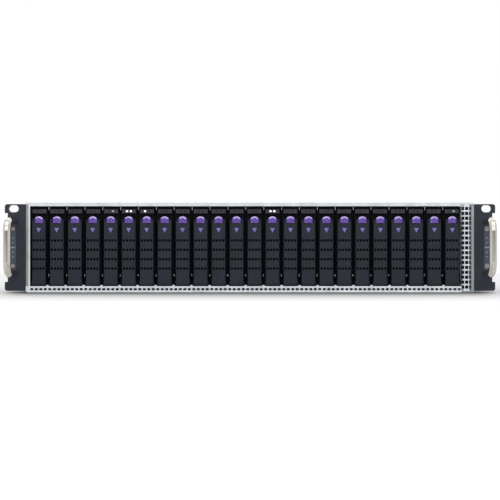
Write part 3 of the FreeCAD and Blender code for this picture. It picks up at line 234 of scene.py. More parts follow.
class Finish:
    """One Principled material and the procedural nodes that feed it."""

    def __init__(self, name, colour, **sockets):
        self.material = bpy.data.materials.new(name)
        self.material.use_nodes = True
        self.tree = self.material.node_tree
        self.shader = self.tree.nodes["Principled BSDF"]
        self.shader.inputs["Base Color"].default_value = (*colour, 1.0)
        for socket, value in sockets.items():
            self.shader.inputs[socket.replace("_", " ")].default_value = value
        self.place = self.add("ShaderNodeTexCoord").outputs["Object"]

    def add(self, kind, **values):
        node = self.tree.nodes.new(kind)
        for name, value in values.items():
            node.inputs[name.replace("_", " ")].default_value = value
        return node

    def join(self, output, target):
        self.tree.links.new(output, target)

    def stretched(self, x, y, z):
        """Coordinates drawn out along an axis, for brushed and rolled surfaces."""
        mapping = self.add("ShaderNodeMapping", Scale=(x, y, z))
        self.join(self.place, mapping.inputs["Vector"])
        return mapping.outputs["Vector"]

    def noise(self, scale, detail=2.0, where=None):
        node = self.add("ShaderNodeTexNoise", Scale=scale, Detail=detail)
        self.join(where or self.place, node.inputs["Vector"])
        return node.outputs[0]

    def crystals(self, scale):
        """One random value for each cell of a cell pattern."""
        node = self.add("ShaderNodeTexVoronoi", Scale=scale)
        self.join(self.place, node.inputs["Vector"])
        split = self.add("ShaderNodeSeparateColor")
        self.join(node.outputs["Color"], split.inputs["Color"])
        return split.outputs[0]

    def tracks(self, scale, width, start=0.55):
        """Thin right-angled lines that begin at a start distance from the cells' middles."""
        node = self.add("ShaderNodeTexVoronoi", Scale=scale)
        node.distance = "CHEBYCHEV"
        node.feature = "F2"
        self.join(self.place, node.inputs["Vector"])
        return self.spread(node.outputs["Distance"], 0.0, 1.0, (start, start + width))

    def spread(self, value, low, high, source=(0.25, 0.75)):
        """Values of a pattern drawn from the source range to the range from low to high."""
        ends = {"From_Min": source[0], "From_Max": source[1], "To_Min": low, "To_Max": high}
        node = self.add("ShaderNodeMapRange", **ends)
        self.join(value, node.inputs["Value"])
        return node.outputs[0]

    def colours(self, value, *stops):
        """Colour of the surface as a ramp over a pattern."""
        node = self.add("ShaderNodeValToRGB")
        elements = node.color_ramp.elements
        while len(elements) < len(stops):
            elements.new(0.5)
        for element, (position, colour) in zip(elements, stops):
            element.position = position
            element.color = (*colour, 1.0)
        self.join(value, node.inputs[0])
        self.join(node.outputs[0], self.shader.inputs["Base Color"])

    def roughness(self, value, low, high):
        self.join(self.spread(value, low, high), self.shader.inputs["Roughness"])

    def bump(self, value, height, strength=1.0):
        node = self.add("ShaderNodeBump", Strength=strength, Distance=height * MM)
        self.join(value, node.inputs["Height"])
        self.join(node.outputs[0], self.shader.inputs["Normal"])


def shade(colour, factor):
    """Colour made darker or lighter by a factor."""
    return tuple(channel * factor for channel in colour)


def zinc_steel(name, colour):
    """Galvanised sheet: faint crystals, rolled grain and a satin sheen."""
    finish = Finish(name, colour, Metallic=1.0)
    crystals = finish.crystals(170.0)
    finish.colours(crystals, (0.0, shade(colour, 0.93)), (1.0, shade(colour, 1.05)))
    finish.roughness(finish.noise(90.0, 4.0), 0.30, 0.46)
    finish.bump(finish.noise(1.0, 3.0, finish.stretched(900.0, 90.0, 900.0)), 0.02, 0.5)
    return finish


def powder_coat(name, colour):
    """Satin paint with a fine orange-peel surface."""
    finish = Finish(name, colour, Specular_IOR_Level=0.35)
    finish.colours(finish.noise(60.0, 3.0), (0.3, shade(colour, 0.85)), (0.7, shade(colour, 1.15)))
    finish.roughness(finish.noise(300.0), 0.36, 0.5)
    finish.bump(finish.noise(1600.0), 0.03, 0.6)
    return finish


def moulded_plastic(name, colour, low=0.38, high=0.52, specular=0.3):
    """Plastic with the fine grain of an eroded mould."""
    finish = Finish(name, colour, Specular_IOR_Level=specular)
    finish.colours(finish.noise(45.0, 3.0), (0.3, shade(colour, 0.86)), (0.7, shade(colour, 1.14)))
    finish.roughness(finish.noise(700.0), low, high)
    finish.bump(finish.noise(2600.0, 2.0), 0.025, 0.6)
    return finish


def glossy_plastic(name, colour):
    """Polished coloured plastic under a clear skin."""
    finish = Finish(name, colour, Specular_IOR_Level=0.7, Coat_Weight=1.0, Coat_Roughness=0.25)
    finish.colours(finish.noise(120.0, 2.0), (0.3, shade(colour, 0.9)), (0.7, shade(colour, 1.1)))
    finish.roughness(finish.noise(500.0), 0.24, 0.34)
    finish.bump(finish.noise(900.0), 0.01, 0.4)
    return finish


def brushed_metal(name, colour, grain, low=0.22, high=0.4, metallic=1.0):
    """Metal brushed along the axis that has the smallest grain number."""
    finish = Finish(name, colour, Metallic=metallic)
    streaks = finish.noise(1.0, 4.0, finish.stretched(*grain))
    finish.colours(streaks, (0.3, shade(colour, 0.78)), (0.7, shade(colour, 1.12)))
    finish.roughness(streaks, low, high)
    finish.bump(streaks, 0.015, 0.5)
    return finish


def solder_mask(name, colour):
    """Circuit board with paler copper tracks under the lacquer."""
    finish = Finish(name, colour, Specular_IOR_Level=0.5)
    lines = finish.tracks(260.0, 0.08)
    finish.colours(lines, (0.0, colour), (1.0, shade(colour, 1.7)))
    finish.roughness(finish.noise(200.0), 0.3, 0.45)
    finish.bump(lines, 0.03, 0.4)
    return finish


def light_pipe(name, colour, glow):
    """Clear moulded pipe end, lit from behind or dark."""
    finish = Finish(name, colour, Emission_Color=(0.95, 0.98, 1.0, 1.0), Emission_Strength=glow)
    finish.colours(finish.noise(900.0), (0.3, shade(colour, 0.9)), (0.7, shade(colour, 1.1)))
    finish.roughness(finish.noise(400.0), 0.15, 0.3)
    return finish


cage_steel = zinc_steel("cage_steel", (0.72, 0.76, 0.79))
cover_steel = zinc_steel("cover_steel", (0.40, 0.42, 0.44))
body_steel = zinc_steel("body_steel", (0.37, 0.385, 0.40))
# Painted shade: darker steel for the front hem of the left side wall only
hem_steel = zinc_steel("hem_steel", (0.34, 0.325, 0.315))
ear_paint = powder_coat("ear_paint", (0.021, 0.0265, 0.041))
lever_plastic = moulded_plastic("lever_plastic", (0.0130, 0.0162, 0.0265))
carrier_plastic = moulded_plastic("carrier_plastic", (0.0036, 0.0042, 0.0078), 0.5, 0.65, 0.1)
strip_plastic = moulded_plastic("strip_plastic", (0.075, 0.088, 0.12))
key_plastic = moulded_plastic("key_plastic", (0.36, 0.33, 0.30))
dot_plastic = moulded_plastic("dot_plastic", (0.30, 0.33, 0.38))
# Painted shade: near-black foam that darkens what is seen through the vent's holes
foam = moulded_plastic("foam", (0.006, 0.006, 0.008), 0.8, 0.95, 0.05)
black_plastic = moulded_plastic("black_plastic", (0.012, 0.012, 0.013))
insert_plastic = moulded_plastic("insert_plastic", (0.012, 0.05, 0.17))
purple_plastic = glossy_plastic("purple_plastic", (0.105, 0.034, 0.38))
# Painted highlight: paler purple for the upper bevel of each release button
purple_edge = glossy_plastic("purple_edge", (0.56, 0.46, 0.90))
# Painted highlight: paler purple for the lower bevel of each release button
purple_foot = glossy_plastic("purple_foot", (0.44, 0.33, 0.62))
mark_ink = glossy_plastic("mark_ink", (0.21, 0.155, 0.60))
handle_metal = brushed_metal("handle_metal", (0.55, 0.53, 0.475), (900.0, 900.0, 25.0), 0.12, 0.2)
fin_aluminium = brushed_metal("fin_aluminium", (0.74, 0.75, 0.76), (40.0, 40.0, 900.0), 0.3, 0.5, 0.7)
port_metal = brushed_metal("port_metal", (0.66, 0.67, 0.69), (60.0, 500.0, 500.0))
drive_metal = brushed_metal("drive_metal", (0.30, 0.31, 0.33), (500.0, 30.0, 500.0))
plate_plastic = moulded_plastic("plate_plastic", (0.046, 0.051, 0.060))
# Painted shade: near-black dividers stand for the shade in the narrow gaps between carriers
divider_paint = moulded_plastic("divider_paint", (0.003, 0.003, 0.005), 0.5, 0.65, 0.08)
# Painted glint: pale finish for the spring tips and guide tabs between the carriers
nylon = moulded_plastic("nylon", (0.78, 0.78, 0.76))
gold_contact = brushed_metal("gold_contact", (0.80, 0.58, 0.22), (300.0, 40.0, 300.0))
ferrite = moulded_plastic("ferrite", (0.05, 0.05, 0.052), 0.5, 0.7)
can_metal = brushed_metal("can_metal", (0.6, 0.62, 0.64), (400.0, 400.0, 60.0))
circuit_board = solder_mask("circuit_board", (0.012, 0.075, 0.032))
dark_pipe = light_pipe("dark_pipe", (0.006, 0.007, 0.009), 0.0)
faint_pipe = light_pipe("faint_pipe", (0.35, 0.36, 0.38), 0.2)
lit_pipe = light_pipe("lit_pipe", (0.8, 0.8, 0.8), 1.2)


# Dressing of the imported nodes

def islands(mesh):
    """Groups of face numbers that hang together, each with its lowest and highest corner in millimetres."""
    parents = {}

    def root(key):
        while parents[key] != key:
            parents[key] = parents[parents[key]]
            key = parents[key]
        return key

    keys = [tuple(round(value * 1e6) for value in vertex.co) for vertex in mesh.vertices]
    for key in keys:
        parents[key] = key
    for polygon in mesh.polygons:
        first = root(keys[polygon.vertices[0]])
        for vertex in polygon.vertices[1:]:
            parents[root(keys[vertex])] = first
    groups = {}
    for polygon in mesh.polygons:
        groups.setdefault(root(keys[polygon.vertices[0]]), []).append(polygon.index)
    found = []
    for faces in groups.values():
        points = [mesh.vertices[vertex].co / MM for face in faces for vertex in mesh.polygons[face].vertices]
        low = Vector(min(point[axis] for point in points) for axis in range(3))
        high = Vector(max(point[axis] for point in points) for axis in range(3))
        found.append((faces, low, high))
    return found


def dress(name, *finishes, choose=None):
    """Gives a node its finishes; choose names the finish of each separate solid by its two corners."""
    mesh = nodes[name].data
    mesh.materials.clear()
    for finish in finishes:
        mesh.materials.append(finish.material)
    if choose:
        for faces, low, high in islands(mesh):
            index = finishes.index(choose(low, high))
            for face in faces:
                mesh.polygons[face].material_index = index


def accent(name, finish, test):
    """Gives another finish to the faces of a node whose middle and normal pass a test, in millimetres."""
    mesh = nodes[name].data
    mesh.materials.append(finish.material)
    for polygon in mesh.polygons:
        if test(polygon.center / MM, polygon.normal):
            polygon.material_index = len(mesh.materials) - 1


def corners(node):
    """Lowest and highest corner of a node in millimetres."""
    low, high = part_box(node)
    return low / MM, high / MM


def bay_middle(bay):
    """Middle of a bay across the front, in millimetres; bays count from 1 at the left."""
    low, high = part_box("carrier_%02d" % bay)
    return (low.x + high.x) / 2 / MM


def pipe_finish(bay, side):
    """Finish of the left (-1) or right (1) light pipe of a carrier."""
    if side in LIT_PIPES.get(bay, ()):
        return lit_pipe
    if side in FAINT_PIPES.get(bay, ()):
        return faint_pipe
    return dark_pipe


def dress_carrier(bay):
    """Finishes of a carrier's frame, drive, light pipes and, past the hinged bays, its lever and button."""
    name = "carrier_%02d" % bay
    middle = bay_middle(bay)
    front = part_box("carrier_01")[0].y / MM
    pipes = {side: pipe_finish(bay, side) for side in (-1, 1)}

    def choose(low, high):
        if high.z - low.z < PIPE_MOST:
            return pipes[-1 if high.x < middle else 1]
        if high.z - low.z < BUTTON_MOST:
            return purple_plastic
        if high.y - low.y < LEVER_MOST:
            return lever_plastic
        return drive_metal if high.y - low.y < DRIVE_MOST else carrier_plastic

    def on_pipe(point):
        beside = abs(abs(point.x - middle) - PIPE_OFFSET) < PIPE_HALF
        return beside and abs(point.z - (PLATE_LOW + PLATE_HIGH) / 2) < PIPE_HALF

    def on_plate(point, normal):
        on_frame = abs(point.x - middle) < PLATE_HALF and point.y < front + PLATE_REACH
        return PLATE_LOW < point.z < PLATE_HIGH and on_frame and not on_pipe(point)

    # Painted shade: front-facing faces set back inside a carrier, the drive's among them, take the near-black
    # frame plastic
    def on_painted_shade_face(point, normal):
        return point.y > front + DRIVE_SETBACK and normal.y < -FACING

    finishes = {carrier_plastic, lever_plastic, purple_plastic, drive_metal, *pipes.values()}
    dress(name, *sorted(finishes, key=lambda finish: finish.material.name), choose=choose)
    accent(name, plate_plastic, on_plate)
    # Painted shade on the set-back front faces
    accent(name, carrier_plastic, on_painted_shade_face)
    if bay > HINGED_BAYS:
        # Painted highlight: paler purple on the button's upper bevel
        accent(name, purple_edge, on_button_highlight)
        # Painted highlight: paler purple on the button's lower bevel
        accent(name, purple_foot, on_button_foot_highlight)


def on_button_highlight(point, normal):
    """Upper bevel of a release button, given a paler purple as a painted highlight."""
    upper = BUTTON_EDGE_LOW < point.z < PLATE_LOW
    return upper and normal.z > BUTTON_EDGE_LEAN and normal.y < -BUTTON_EDGE_LEAN


def on_button_foot_highlight(point, normal):
    """Lower bevel of a release button, also given a paler purple as a painted highlight."""
    lower = BUTTON_FOOT_LOW < point.z < BUTTON_FOOT_HIGH
    return lower and normal.z < -BUTTON_EDGE_LEAN and normal.y < -BUTTON_EDGE_LEAN


def on_cover_edge(point, normal):
    """Bright cut edge at the front of the front cover."""
    return normal.y < -FACING and point.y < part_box("front_cover")[0].y / MM + COVER_SHEET


def cage_finish(low, high):
    """Dividers in a bright cage, coloured near black as painted shade in the gaps between carriers."""
    return divider_paint if high.x - low.x < DIVIDER_MOST else cage_steel


def strip_finish(low, high):
    """Lamps, strips and plugs of the control strips."""
    if high.z - low.z < DOT_MOST:
        return dot_plastic
    return strip_plastic if high.z - low.z > STRIP_LEAST else key_plastic


def on_shaded_hem(point, normal):
    """Folded front edge of the left side wall, given a darker steel as painted shade."""
    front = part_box("chassis_base")[0].y / MM
    return point.x < -HEM_X and point.z > HEM_LOW and point.y < front + HEM_REACH


def board_finish(low, high):
    """Board, cooler or plastic socket, told apart by their sizes."""
    if high.x - low.x > BOARD_LEAST:
        return circuit_board
    return fin_aluminium if high.z - low.z > COOLER_LEAST else black_plastic


def backplane_finish(low, high):
    """Board or drive connector."""
    return circuit_board if high.x - low.x > BOARD_LEAST else black_plastic


def in_mouth(point, normal):
    """Inner faces of the rear sockets."""
    for faces, low, high in ports:
        across = low.x + MOUTH_WALL < point.x < high.x - MOUTH_WALL
        upright = low.z + MOUTH_WALL < point.z < high.z - MOUTH_WALL
        if across and upright and point.y < MOUTH_FACE:
            return True
    return False


def dress_inlet(name):
    """Black socket in a supply's face; its three pins stay bright."""
    low, high = corners(name)
    middle = (low.z + high.z) / 2

    def on_socket(point, normal):
        aside = abs(point.x - low.x - INLET_X)
        above = abs(point.z - middle)
        depth = PSU_FACE - point.y
        inside = aside < INLET_HALF_WIDTH + INLET_WALL and above < INLET_HALF_HEIGHT + INLET_WALL
        on_wall = aside > INLET_HALF_WIDTH - INLET_WALL or above > INLET_HALF_HEIGHT - INLET_WALL
        on_floor = depth > INLET_DEPTH - INLET_WALL
        return inside and INLET_SKIN < depth < INLET_DEPTH + INLET_WALL and (on_wall or on_floor)

    accent(name, black_plastic, on_socket)


ports = islands(nodes["rear_ports"].data)
PLAIN = {
    body_steel: ("chassis_base", "rear_panel", "fan_bracket", *SUPPLIES),
    cage_steel: ("front_vent", "slot_covers"),
    cover_steel: ("front_cover", "rear_cover"),
    ear_paint: ("rack_ear_left", "rack_ear_right"),
    handle_metal: ("handle_left", "handle_right"),
    key_plastic: ("power_button", "id_button"),
    black_plastic: (
        "fan_frames", "fan_rotor_1", "fan_rotor_2", "fan_rotor_3", "board_connectors", "memory_slots",
    ),
    fin_aluminium: ("cpu_heatsinks",),
    port_metal: ("rear_ports", "screws"),
    purple_plastic: ("psu_1_latch", "psu_2_latch"),
}
for finish, names in PLAIN.items():
    for name in names:
        dress(name, finish)
dress("drive_cage", cage_steel, divider_paint, choose=cage_finish)
dress("control_strips", strip_plastic, dot_plastic, key_plastic, choose=strip_finish)
dress("mainboard", circuit_board, fin_aluminium, black_plastic, choose=board_finish)
dress("backplane", circuit_board, black_plastic, choose=backplane_finish)
accent("chassis_base", hem_steel, on_shaded_hem)
accent("front_cover", cage_steel, on_cover_edge)
accent("rear_ports", black_plastic, in_mouth)
for name in SUPPLIES:
    dress_inlet(name)
for bay in range(1, BAY_COUNT + 1):
    dress_carrier(bay)
for bay in range(1, HINGED_BAYS + 1):
    dress("lever_%02d" % bay, lever_plastic)
    dress("release_button_%02d" % bay, purple_plastic)
    # Painted highlight: paler purple on the button's upper bevel
    accent("release_button_%02d" % bay, purple_edge, on_button_highlight)
    # Painted highlight: paler purple on the button's lower bevel
    accent("release_button_%02d" % bay, purple_foot, on_button_foot_highlight)


# Small pieces

class Form:
    """A mesh under construction, in millimetres."""

    def __init__(self):
        self.mesh = bmesh.new()

    def block(self, low, high, edge=0.0):
        """Box with rounded edges."""
        low, high = Vector(low), Vector(high)
        made = bmesh.ops.create_cube(self.mesh, size=1.0)["verts"]
        for vertex in made:
            vertex.co = (low + high) / 2 + vertex.co * (high - low)
        if edge:
            edges = list({one for vertex in made for one in vertex.link_edges})
            bmesh.ops.bevel(self.mesh, geom=edges, offset=edge, segments=2, profile=0.5, affect="EDGES")

    def prism(self, near, far):
        """Closed form between two outlines with as many points each."""
        rings = [[self.mesh.verts.new(point) for point in outline] for outline in (near, far)]
        for index in range(len(near)):
            after = (index + 1) % len(near)
            self.mesh.faces.new((rings[0][index], rings[0][after], rings[1][after], rings[1][index]))
        self.mesh.faces.new(list(reversed(rings[0])))
        self.mesh.faces.new(rings[1])

    def turned(self, profile, place, steps=24):
        """Profile turned about the Z axis of a place.

        A row is a radius, a height and, for teeth, their depth and count.
        """
        rings = []
        for radius, height, *teeth in profile:
            depth, count = teeth or (0.0, 1)
            ring = []
            for step in range(steps):
                turn = 2 * math.pi * step / steps
                reach = radius * (1 - depth * math.sin(turn * count / 2) ** 2)
                spot = Vector((reach * math.cos(turn), reach * math.sin(turn), height))
                ring.append(self.mesh.verts.new(place @ spot))
            rings.append(ring)
        for lower, upper in zip(rings, rings[1:]):
            for step in range(steps):
                after = (step + 1) % steps
                self.mesh.faces.new((lower[step], lower[after], upper[after], upper[step]))
        self.mesh.faces.new(list(reversed(rings[0])))
        self.mesh.faces.new(rings[-1])

    def done(self, name, finish, body, slot=None):
        """Turns the form into a piece that rides on a body."""
        bmesh.ops.recalc_face_normals(self.mesh, faces=self.mesh.faces)
        self.mesh.transform(Matrix.Scale(MM, 4))
        mesh = bpy.data.meshes.new(name)
        self.mesh.to_mesh(mesh)
        self.mesh.free()
        mesh.materials.append(finish.material)
        mesh.polygons.foreach_set("use_smooth", [True] * len(mesh.polygons))
        mesh.set_sharp_from_angle(angle=math.radians(SHARP_DEGREES))
        made = bpy.data.objects.new(name, mesh)
        bpy.context.scene.collection.objects.link(made)
        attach(made, body)
        return made


def facing(spot, direction):
    """Place whose Z axis points along a direction."""
    return Matrix.Translation(Vector(spot)) @ Vector(direction).to_track_quat("Z", "Y").to_matrix().to_4x4()


def pan_screw(form, spot, direction, radius, length=0.0, rise=0.5):
    """Screw with a cross recess, its head standing on the spot; rise is the head's height over its radius."""
    tall = radius * rise
    profile = [(radius * 0.6, -length), (radius * 0.6, 0.0), (radius, 0.0), (radius, tall * 0.44)]
    profile += [(radius * 0.86, tall * 0.84), (radius * 0.6, tall), (radius * 0.55, tall, 0.6, 4)]
    profile += [(radius * 0.4, tall * 0.4, 0.6, 4), (radius * 0.05, tall * 0.3)]
    form.turned(profile, facing(spot, direction), 32)


def rivet(form, spot, direction, radius):
    """Low domed rivet head."""
    profile = [(radius, -0.2), (radius, 0.1), (radius * 0.8, radius * 0.22)]
    profile += [(radius * 0.4, radius * 0.32), (0.05, radius * 0.34)]
    form.turned(profile, facing(spot, direction), 20)


def arrow_mark(bay):
    """Small downward triangle printed on a lever."""
    x = bay_middle(bay)
    face = corners("lever_01")[0].y
    top = MARK_LOW + MARK_HEIGHT
    outline = ((x - MARK_WIDTH / 2, top), (x + MARK_WIDTH / 2, top), (x, MARK_LOW))
    near = [(across, face - MARK_THICK, height) for across, height in outline]
    far = [(across, face + MARK_THICK, height) for across, height in outline]
    form = Form()
    form.prism(near, far)
    body = "lever_%02d" % bay if bay <= HINGED_BAYS else "carrier_%02d" % bay
    form.done("mark_%02d" % bay, mark_ink, body, "purple_plastic")


def bay_clips():
    """Spring tips between the carriers, low down, and guide tabs at the top; their pale nylon finish is a
    painted glint.
    """
    form = Form()
    cage_front = corners("drive_cage")[0].y
    clip_front = cage_front + CLIP_SETBACK
    tab_front = cage_front + TAB_SETBACK
    back = clip_front + CLIP_LENGTH
    for bay in range(1, BAY_COUNT):
        x = (bay_middle(bay) + bay_middle(bay + 1)) / 2
        clip_top = CLIP_LOW + CLIP_HEIGHT
        form.block((x - CLIP_HALF, clip_front, CLIP_LOW), (x + CLIP_HALF, back, clip_top), CLIP_EDGE)
        x += TAB_SHIFT
        form.block((x - TAB_HALF, tab_front, TAB_LOW), (x + TAB_HALF, back, TAB_HIGH), TAB_EDGE)
    form.done("bay_clips", nylon, "chassis", "port_metal")


def ear_screws():
    """Screws with cross recesses that hold the ears, in the place of the plain ones."""
    form = Form()
    for faces, low, high in islands(nodes["screws"].data):
        side = 1 if low.x > 0 else -1
        seat = high.x - SCREW_HEAD if side > 0 else low.x + SCREW_HEAD
        middle = (low + high) / 2
        radius = (high.z - low.z) / 2
        length = high.x - low.x - SCREW_HEAD
        pan_screw(form, (seat, middle.y, middle.z), (side, 0, 0), radius, length)
    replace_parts(form.done("ear_screws", port_metal, "chassis", "port_metal"), "screws")


def side_rivets():
    """Rivets that hold the cage, the fan wall and the rear panel to the side walls."""
    form = Form()
    low, high = corners("chassis_base")
    cage_end = corners("drive_cage")[1].y
    fan_end = corners("fan_bracket")[1].y
    rows = [low.y + RIVET_FROM_FRONT, cage_end - RIVET_FROM_CAGE_END, fan_end - RIVET_FROM_FAN_END]
    rows += [*RIVET_MIDDLE, high.y - RIVET_FROM_REAR]
    for side in (-1, 1):
        for y in rows:
            for z in RIVET_HEIGHTS:
                rivet(form, (side * WALL_X, y, z), (side, 0, 0), RIVET_RADIUS)
    form.done("side_rivets", port_metal, "chassis", "port_metal")


def cover_screws(cover, body, columns, rows):
    """Low screws on a cover, in columns across it and rows along it."""
    top = corners(cover)[1].z
    form = Form()
    for x in columns:
        for y in rows:
            pan_screw(form, (x, y, top), (0, 0, 1), COVER_SCREW, rise=LOW_HEAD)
    form.done(cover + "_screws", port_metal, body, "port_metal")


def front_cover_screws():
    """Two rows of screws on the fixed front cover."""
    low, high = corners("front_cover")
    front, rear = FRONT_SCREWS_INSET
    cover_screws("front_cover", "chassis", FRONT_SCREWS_X, (low.y + front, high.y - rear))


def rear_cover_screws():
    """Three screws along each side of the rear cover, which lift with it."""
    low, high = corners("rear_cover")
    front, rear = REAR_SCREWS_INSET
    rows = (low.y + front, (low.y + high.y) / 2, high.y - rear)
    cover_screws("rear_cover", "rear_cover", REAR_SCREWS_X, rows)


def rear_screws():
    """One screw below each card slot and two at the foot of the rear panel."""
    form = Form()
    low, high = corners("slot_covers")
    pitch = (high.x - low.x - SLOT_COVER_WIDTH) / (SLOT_COUNT - 1)
    for index in range(SLOT_COUNT):
        x = low.x + SLOT_COVER_WIDTH / 2 + index * pitch
        pan_screw(form, (x, REAR_FACE, low.z + SLOT_SCREW_RISE), (0, 1, 0), PANEL_SCREW)
    for x in FOOT_SCREWS_X:
        pan_screw(form, (x, REAR_FACE, FOOT_SCREWS_Z), (0, 1, 0), PANEL_SCREW)
    form.done("rear_screws", port_metal, "chassis", "port_metal")


def vent_foam():
    """Dark foam block in the folded vent strip, a painted shade seen through the vent's holes."""
    low, high = corners("front_vent")
    gap = VENT_SHEET + SHADE_FOAM_GAP
    run = (high.x - low.x - VENT_FLAT) / 2
    inset = gap * math.tan(math.radians(VENT_FOLD_DEGREES / 2))
    outline = [(low.x + gap, SHADE_FOAM_REACH), (low.x + gap, run + inset), (low.x + run + inset, gap)]
    outline += [(low.x + high.x - x, y) for x, y in reversed(outline)]
    bottom = [(x, low.y + y, low.z + gap) for x, y in outline]
    top = [(x, low.y + y, high.z - gap) for x, y in outline]
    form = Form()
    form.prism(bottom, top)
    form.done("vent_foam", foam, "chassis", "black_plastic")


def inlet_shroud(name, x, middle):
    """Black rim round a supply's inlet, as four bars."""
    near = PSU_FACE - SHROUD_SINK
    far = PSU_FACE + SHROUD_PROUD
    span = INLET_HALF_WIDTH + SHROUD_RIM
    form = Form()
    for side in (-1, 1):
        ends = sorted(middle + side * (INLET_HALF_HEIGHT + rim) for rim in (0.0, SHROUD_RIM))
        form.block((x - span, near, ends[0]), (x + span, far, ends[1]), SHROUD_EDGE)
        ends = sorted(x + side * (INLET_HALF_WIDTH + rim) for rim in (0.0, SHROUD_RIM))
        bottom = middle - INLET_HALF_HEIGHT
        top = middle + INLET_HALF_HEIGHT
        form.block((ends[0], near, bottom), (ends[1], far, top), SHROUD_EDGE)
    form.done(name + "_inlet_shroud", black_plastic, name, "black_plastic")


def psu_fittings(name):
    """Inlet shroud, screws and status lamp on a supply's face."""
    low, high = corners(name)
    inlet_shroud(name, low.x + INLET_X, (low.z + high.z) / 2)
    screws = Form()
    for z in (low.z + PSU_SCREW_INSET, high.z - PSU_SCREW_INSET):
        pan_screw(screws, (low.x + PSU_SCREW_X, PSU_FACE, z), (0, 1, 0), PSU_SCREW)
    screws.done(name + "_screws", port_metal, name, "port_metal")
    lamp = Form()
    spot = (high.x - PSU_LAMP_X, PSU_FACE, low.z + PSU_LAMP_RISE)
    lamp.turned(LAMP_OUTLINE, facing(spot, (0, 1, 0)), 20)
    lamp.done(name + "_lamp", faint_pipe, name)


def socket_springs(form, low, high):
    """Row of contact springs in a network socket."""
    for index in range(SPRING_COUNT):
        x = (low.x + high.x) / 2 + (index - (SPRING_COUNT - 1) / 2) * SPRING_PITCH
        start = (x - SPRING_HALF, high.y - SPRING_DEEP, low.z + SPRING_LOW)
        end = (x + SPRING_HALF, high.y - SPRING_SHALLOW, low.z + SPRING_HIGH)
        form.block(start, end, SPRING_EDGE)


def plug_pins(form, low, high):
    """Two rows of pins in a plug."""
    for height, count in PIN_ROWS:
        for index in range(count):
            x = (low.x + high.x) / 2 + (index - (count - 1) / 2) * PIN_PITCH
            spot = (x, high.y, (low.z + high.z) / 2 + height)
            form.turned(PIN_OUTLINE, facing(spot, (0, 1, 0)), 12)


def port_contacts():
    """Gold springs in the network sockets and pins in the plugs."""
    form = Form()
    for faces, low, high in ports:
        if SOCKET_LEAST < high.x - low.x < SOCKET_MOST:
            socket_springs(form, low, high)
        if high.x - low.x > PLUG_LEAST:
            plug_pins(form, low, high)
    form.done("port_contacts", gold_contact, "chassis", "port_metal")


def plug_outline(x, y, z):
    """Outline of a plug's insert round a point, wider at its top."""
    rows = ((PLUG_HALF_WIDTH, PLUG_HALF_HEIGHT), (PLUG_HALF_WIDTH - PLUG_SLANT, -PLUG_HALF_HEIGHT))
    right = [(x + wide, y, z + tall) for wide, tall in rows]
    left = [(x - wide, y, z + tall) for wide, tall in reversed(rows)]
    return right + left


def plug_fittings():
    """Coloured insert in each plug's shell and the two hexagonal jack screws beside it."""
    inserts = Form()
    jacks = Form()
    for faces, low, high in ports:
        if high.x - low.x < PLUG_LEAST:
            continue
        x = (low.x + high.x) / 2
        z = (low.z + high.z) / 2
        inserts.prism(plug_outline(x, high.y - PLUG_INSERT, z), plug_outline(x, high.y + PLUG_INSERT, z))
        for side in (-1, 1):
            jacks.turned(JACK_OUTLINE, facing((x + side * JACK_OFFSET, JACK_FACE, z), (0, 1, 0)), 6)
    inserts.done("plug_inserts", insert_plastic, "chassis", "black_plastic")
    jacks.done("jack_screws", port_metal, "chassis", "port_metal")


def board_spaces():
    """Corners of the mainboard, and a list of the corners of each thing that stands on it."""
    taken = []
    for node in ("memory_slots", "board_connectors", "cpu_heatsinks", "rear_ports"):
        taken += [(low, high) for faces, low, high in islands(nodes[node].data)]
    for faces, low, high in islands(nodes["mainboard"].data):
        if high.x - low.x > BOARD_LEAST:
            board = (low, high)
        else:
            taken.append((low, high))
    return board, taken


def is_taken(x, y, reach, taken):
    """Whether a spot on the board lies within a reach of something that stands there."""
    for low, high in taken:
        if low.x - reach < x < high.x + reach and low.y - reach < y < high.y + reach:
            return True
    return False


def board_parts():
    """Chips, coils and capacitors on the mainboard, clear of its sockets, slots and connectors."""
    draw = random.Random(BOARD_SEED)
    (low, high), taken = board_spaces()
    forms = {"board_chips": Form(), "board_coils": Form(), "board_cans": Form()}
    for attempt in range(BOARD_TRIES):
        kind = draw.choice(list(forms))
        chip_half = draw.uniform(*CHIP_HALVES)
        half = {"board_chips": chip_half, "board_coils": COIL_HALF, "board_cans": CAN_HALF}[kind]
        x = draw.uniform(low.x + half + BOARD_MARGIN, high.x - half - BOARD_MARGIN)
        y = draw.uniform(low.y + half + BOARD_MARGIN, high.y - half - BOARD_REAR_MARGIN)
        z = high.z
        if is_taken(x, y, half + PART_GAP, taken):
            continue
        taken.append((Vector((x - half, y - half, z)), Vector((x + half, y + half, z))))
        start = (x - half, y - half, z)
        if kind == "board_chips":
            forms[kind].block(start, (x + half, y + half, z + CHIP_HEIGHT), CHIP_EDGE)
        elif kind == "board_coils":
            forms[kind].block(start, (x + half, y + half, z + COIL_HEIGHT), COIL_EDGE)
        else:
            forms[kind].turned(CAN_OUTLINE, facing((x, y, z), (0, 0, 1)), 20)
    forms["board_chips"].done("board_chips", black_plastic, "chassis", "black_plastic")
    forms["board_coils"].done("board_coils", ferrite, "chassis", "black_plastic")
    forms["board_cans"].done("board_cans", can_metal, "chassis", "fin_aluminium")


for bay in range(1, BAY_COUNT + 1):
    arrow_mark(bay)
bay_clips()
ear_screws()
side_rivets()
front_cover_screws()
rear_cover_screws()
rear_screws()
vent_foam()
for name in SUPPLIES:
    psu_fittings(name)
port_contacts()
plug_fittings()
board_parts()


# Stage

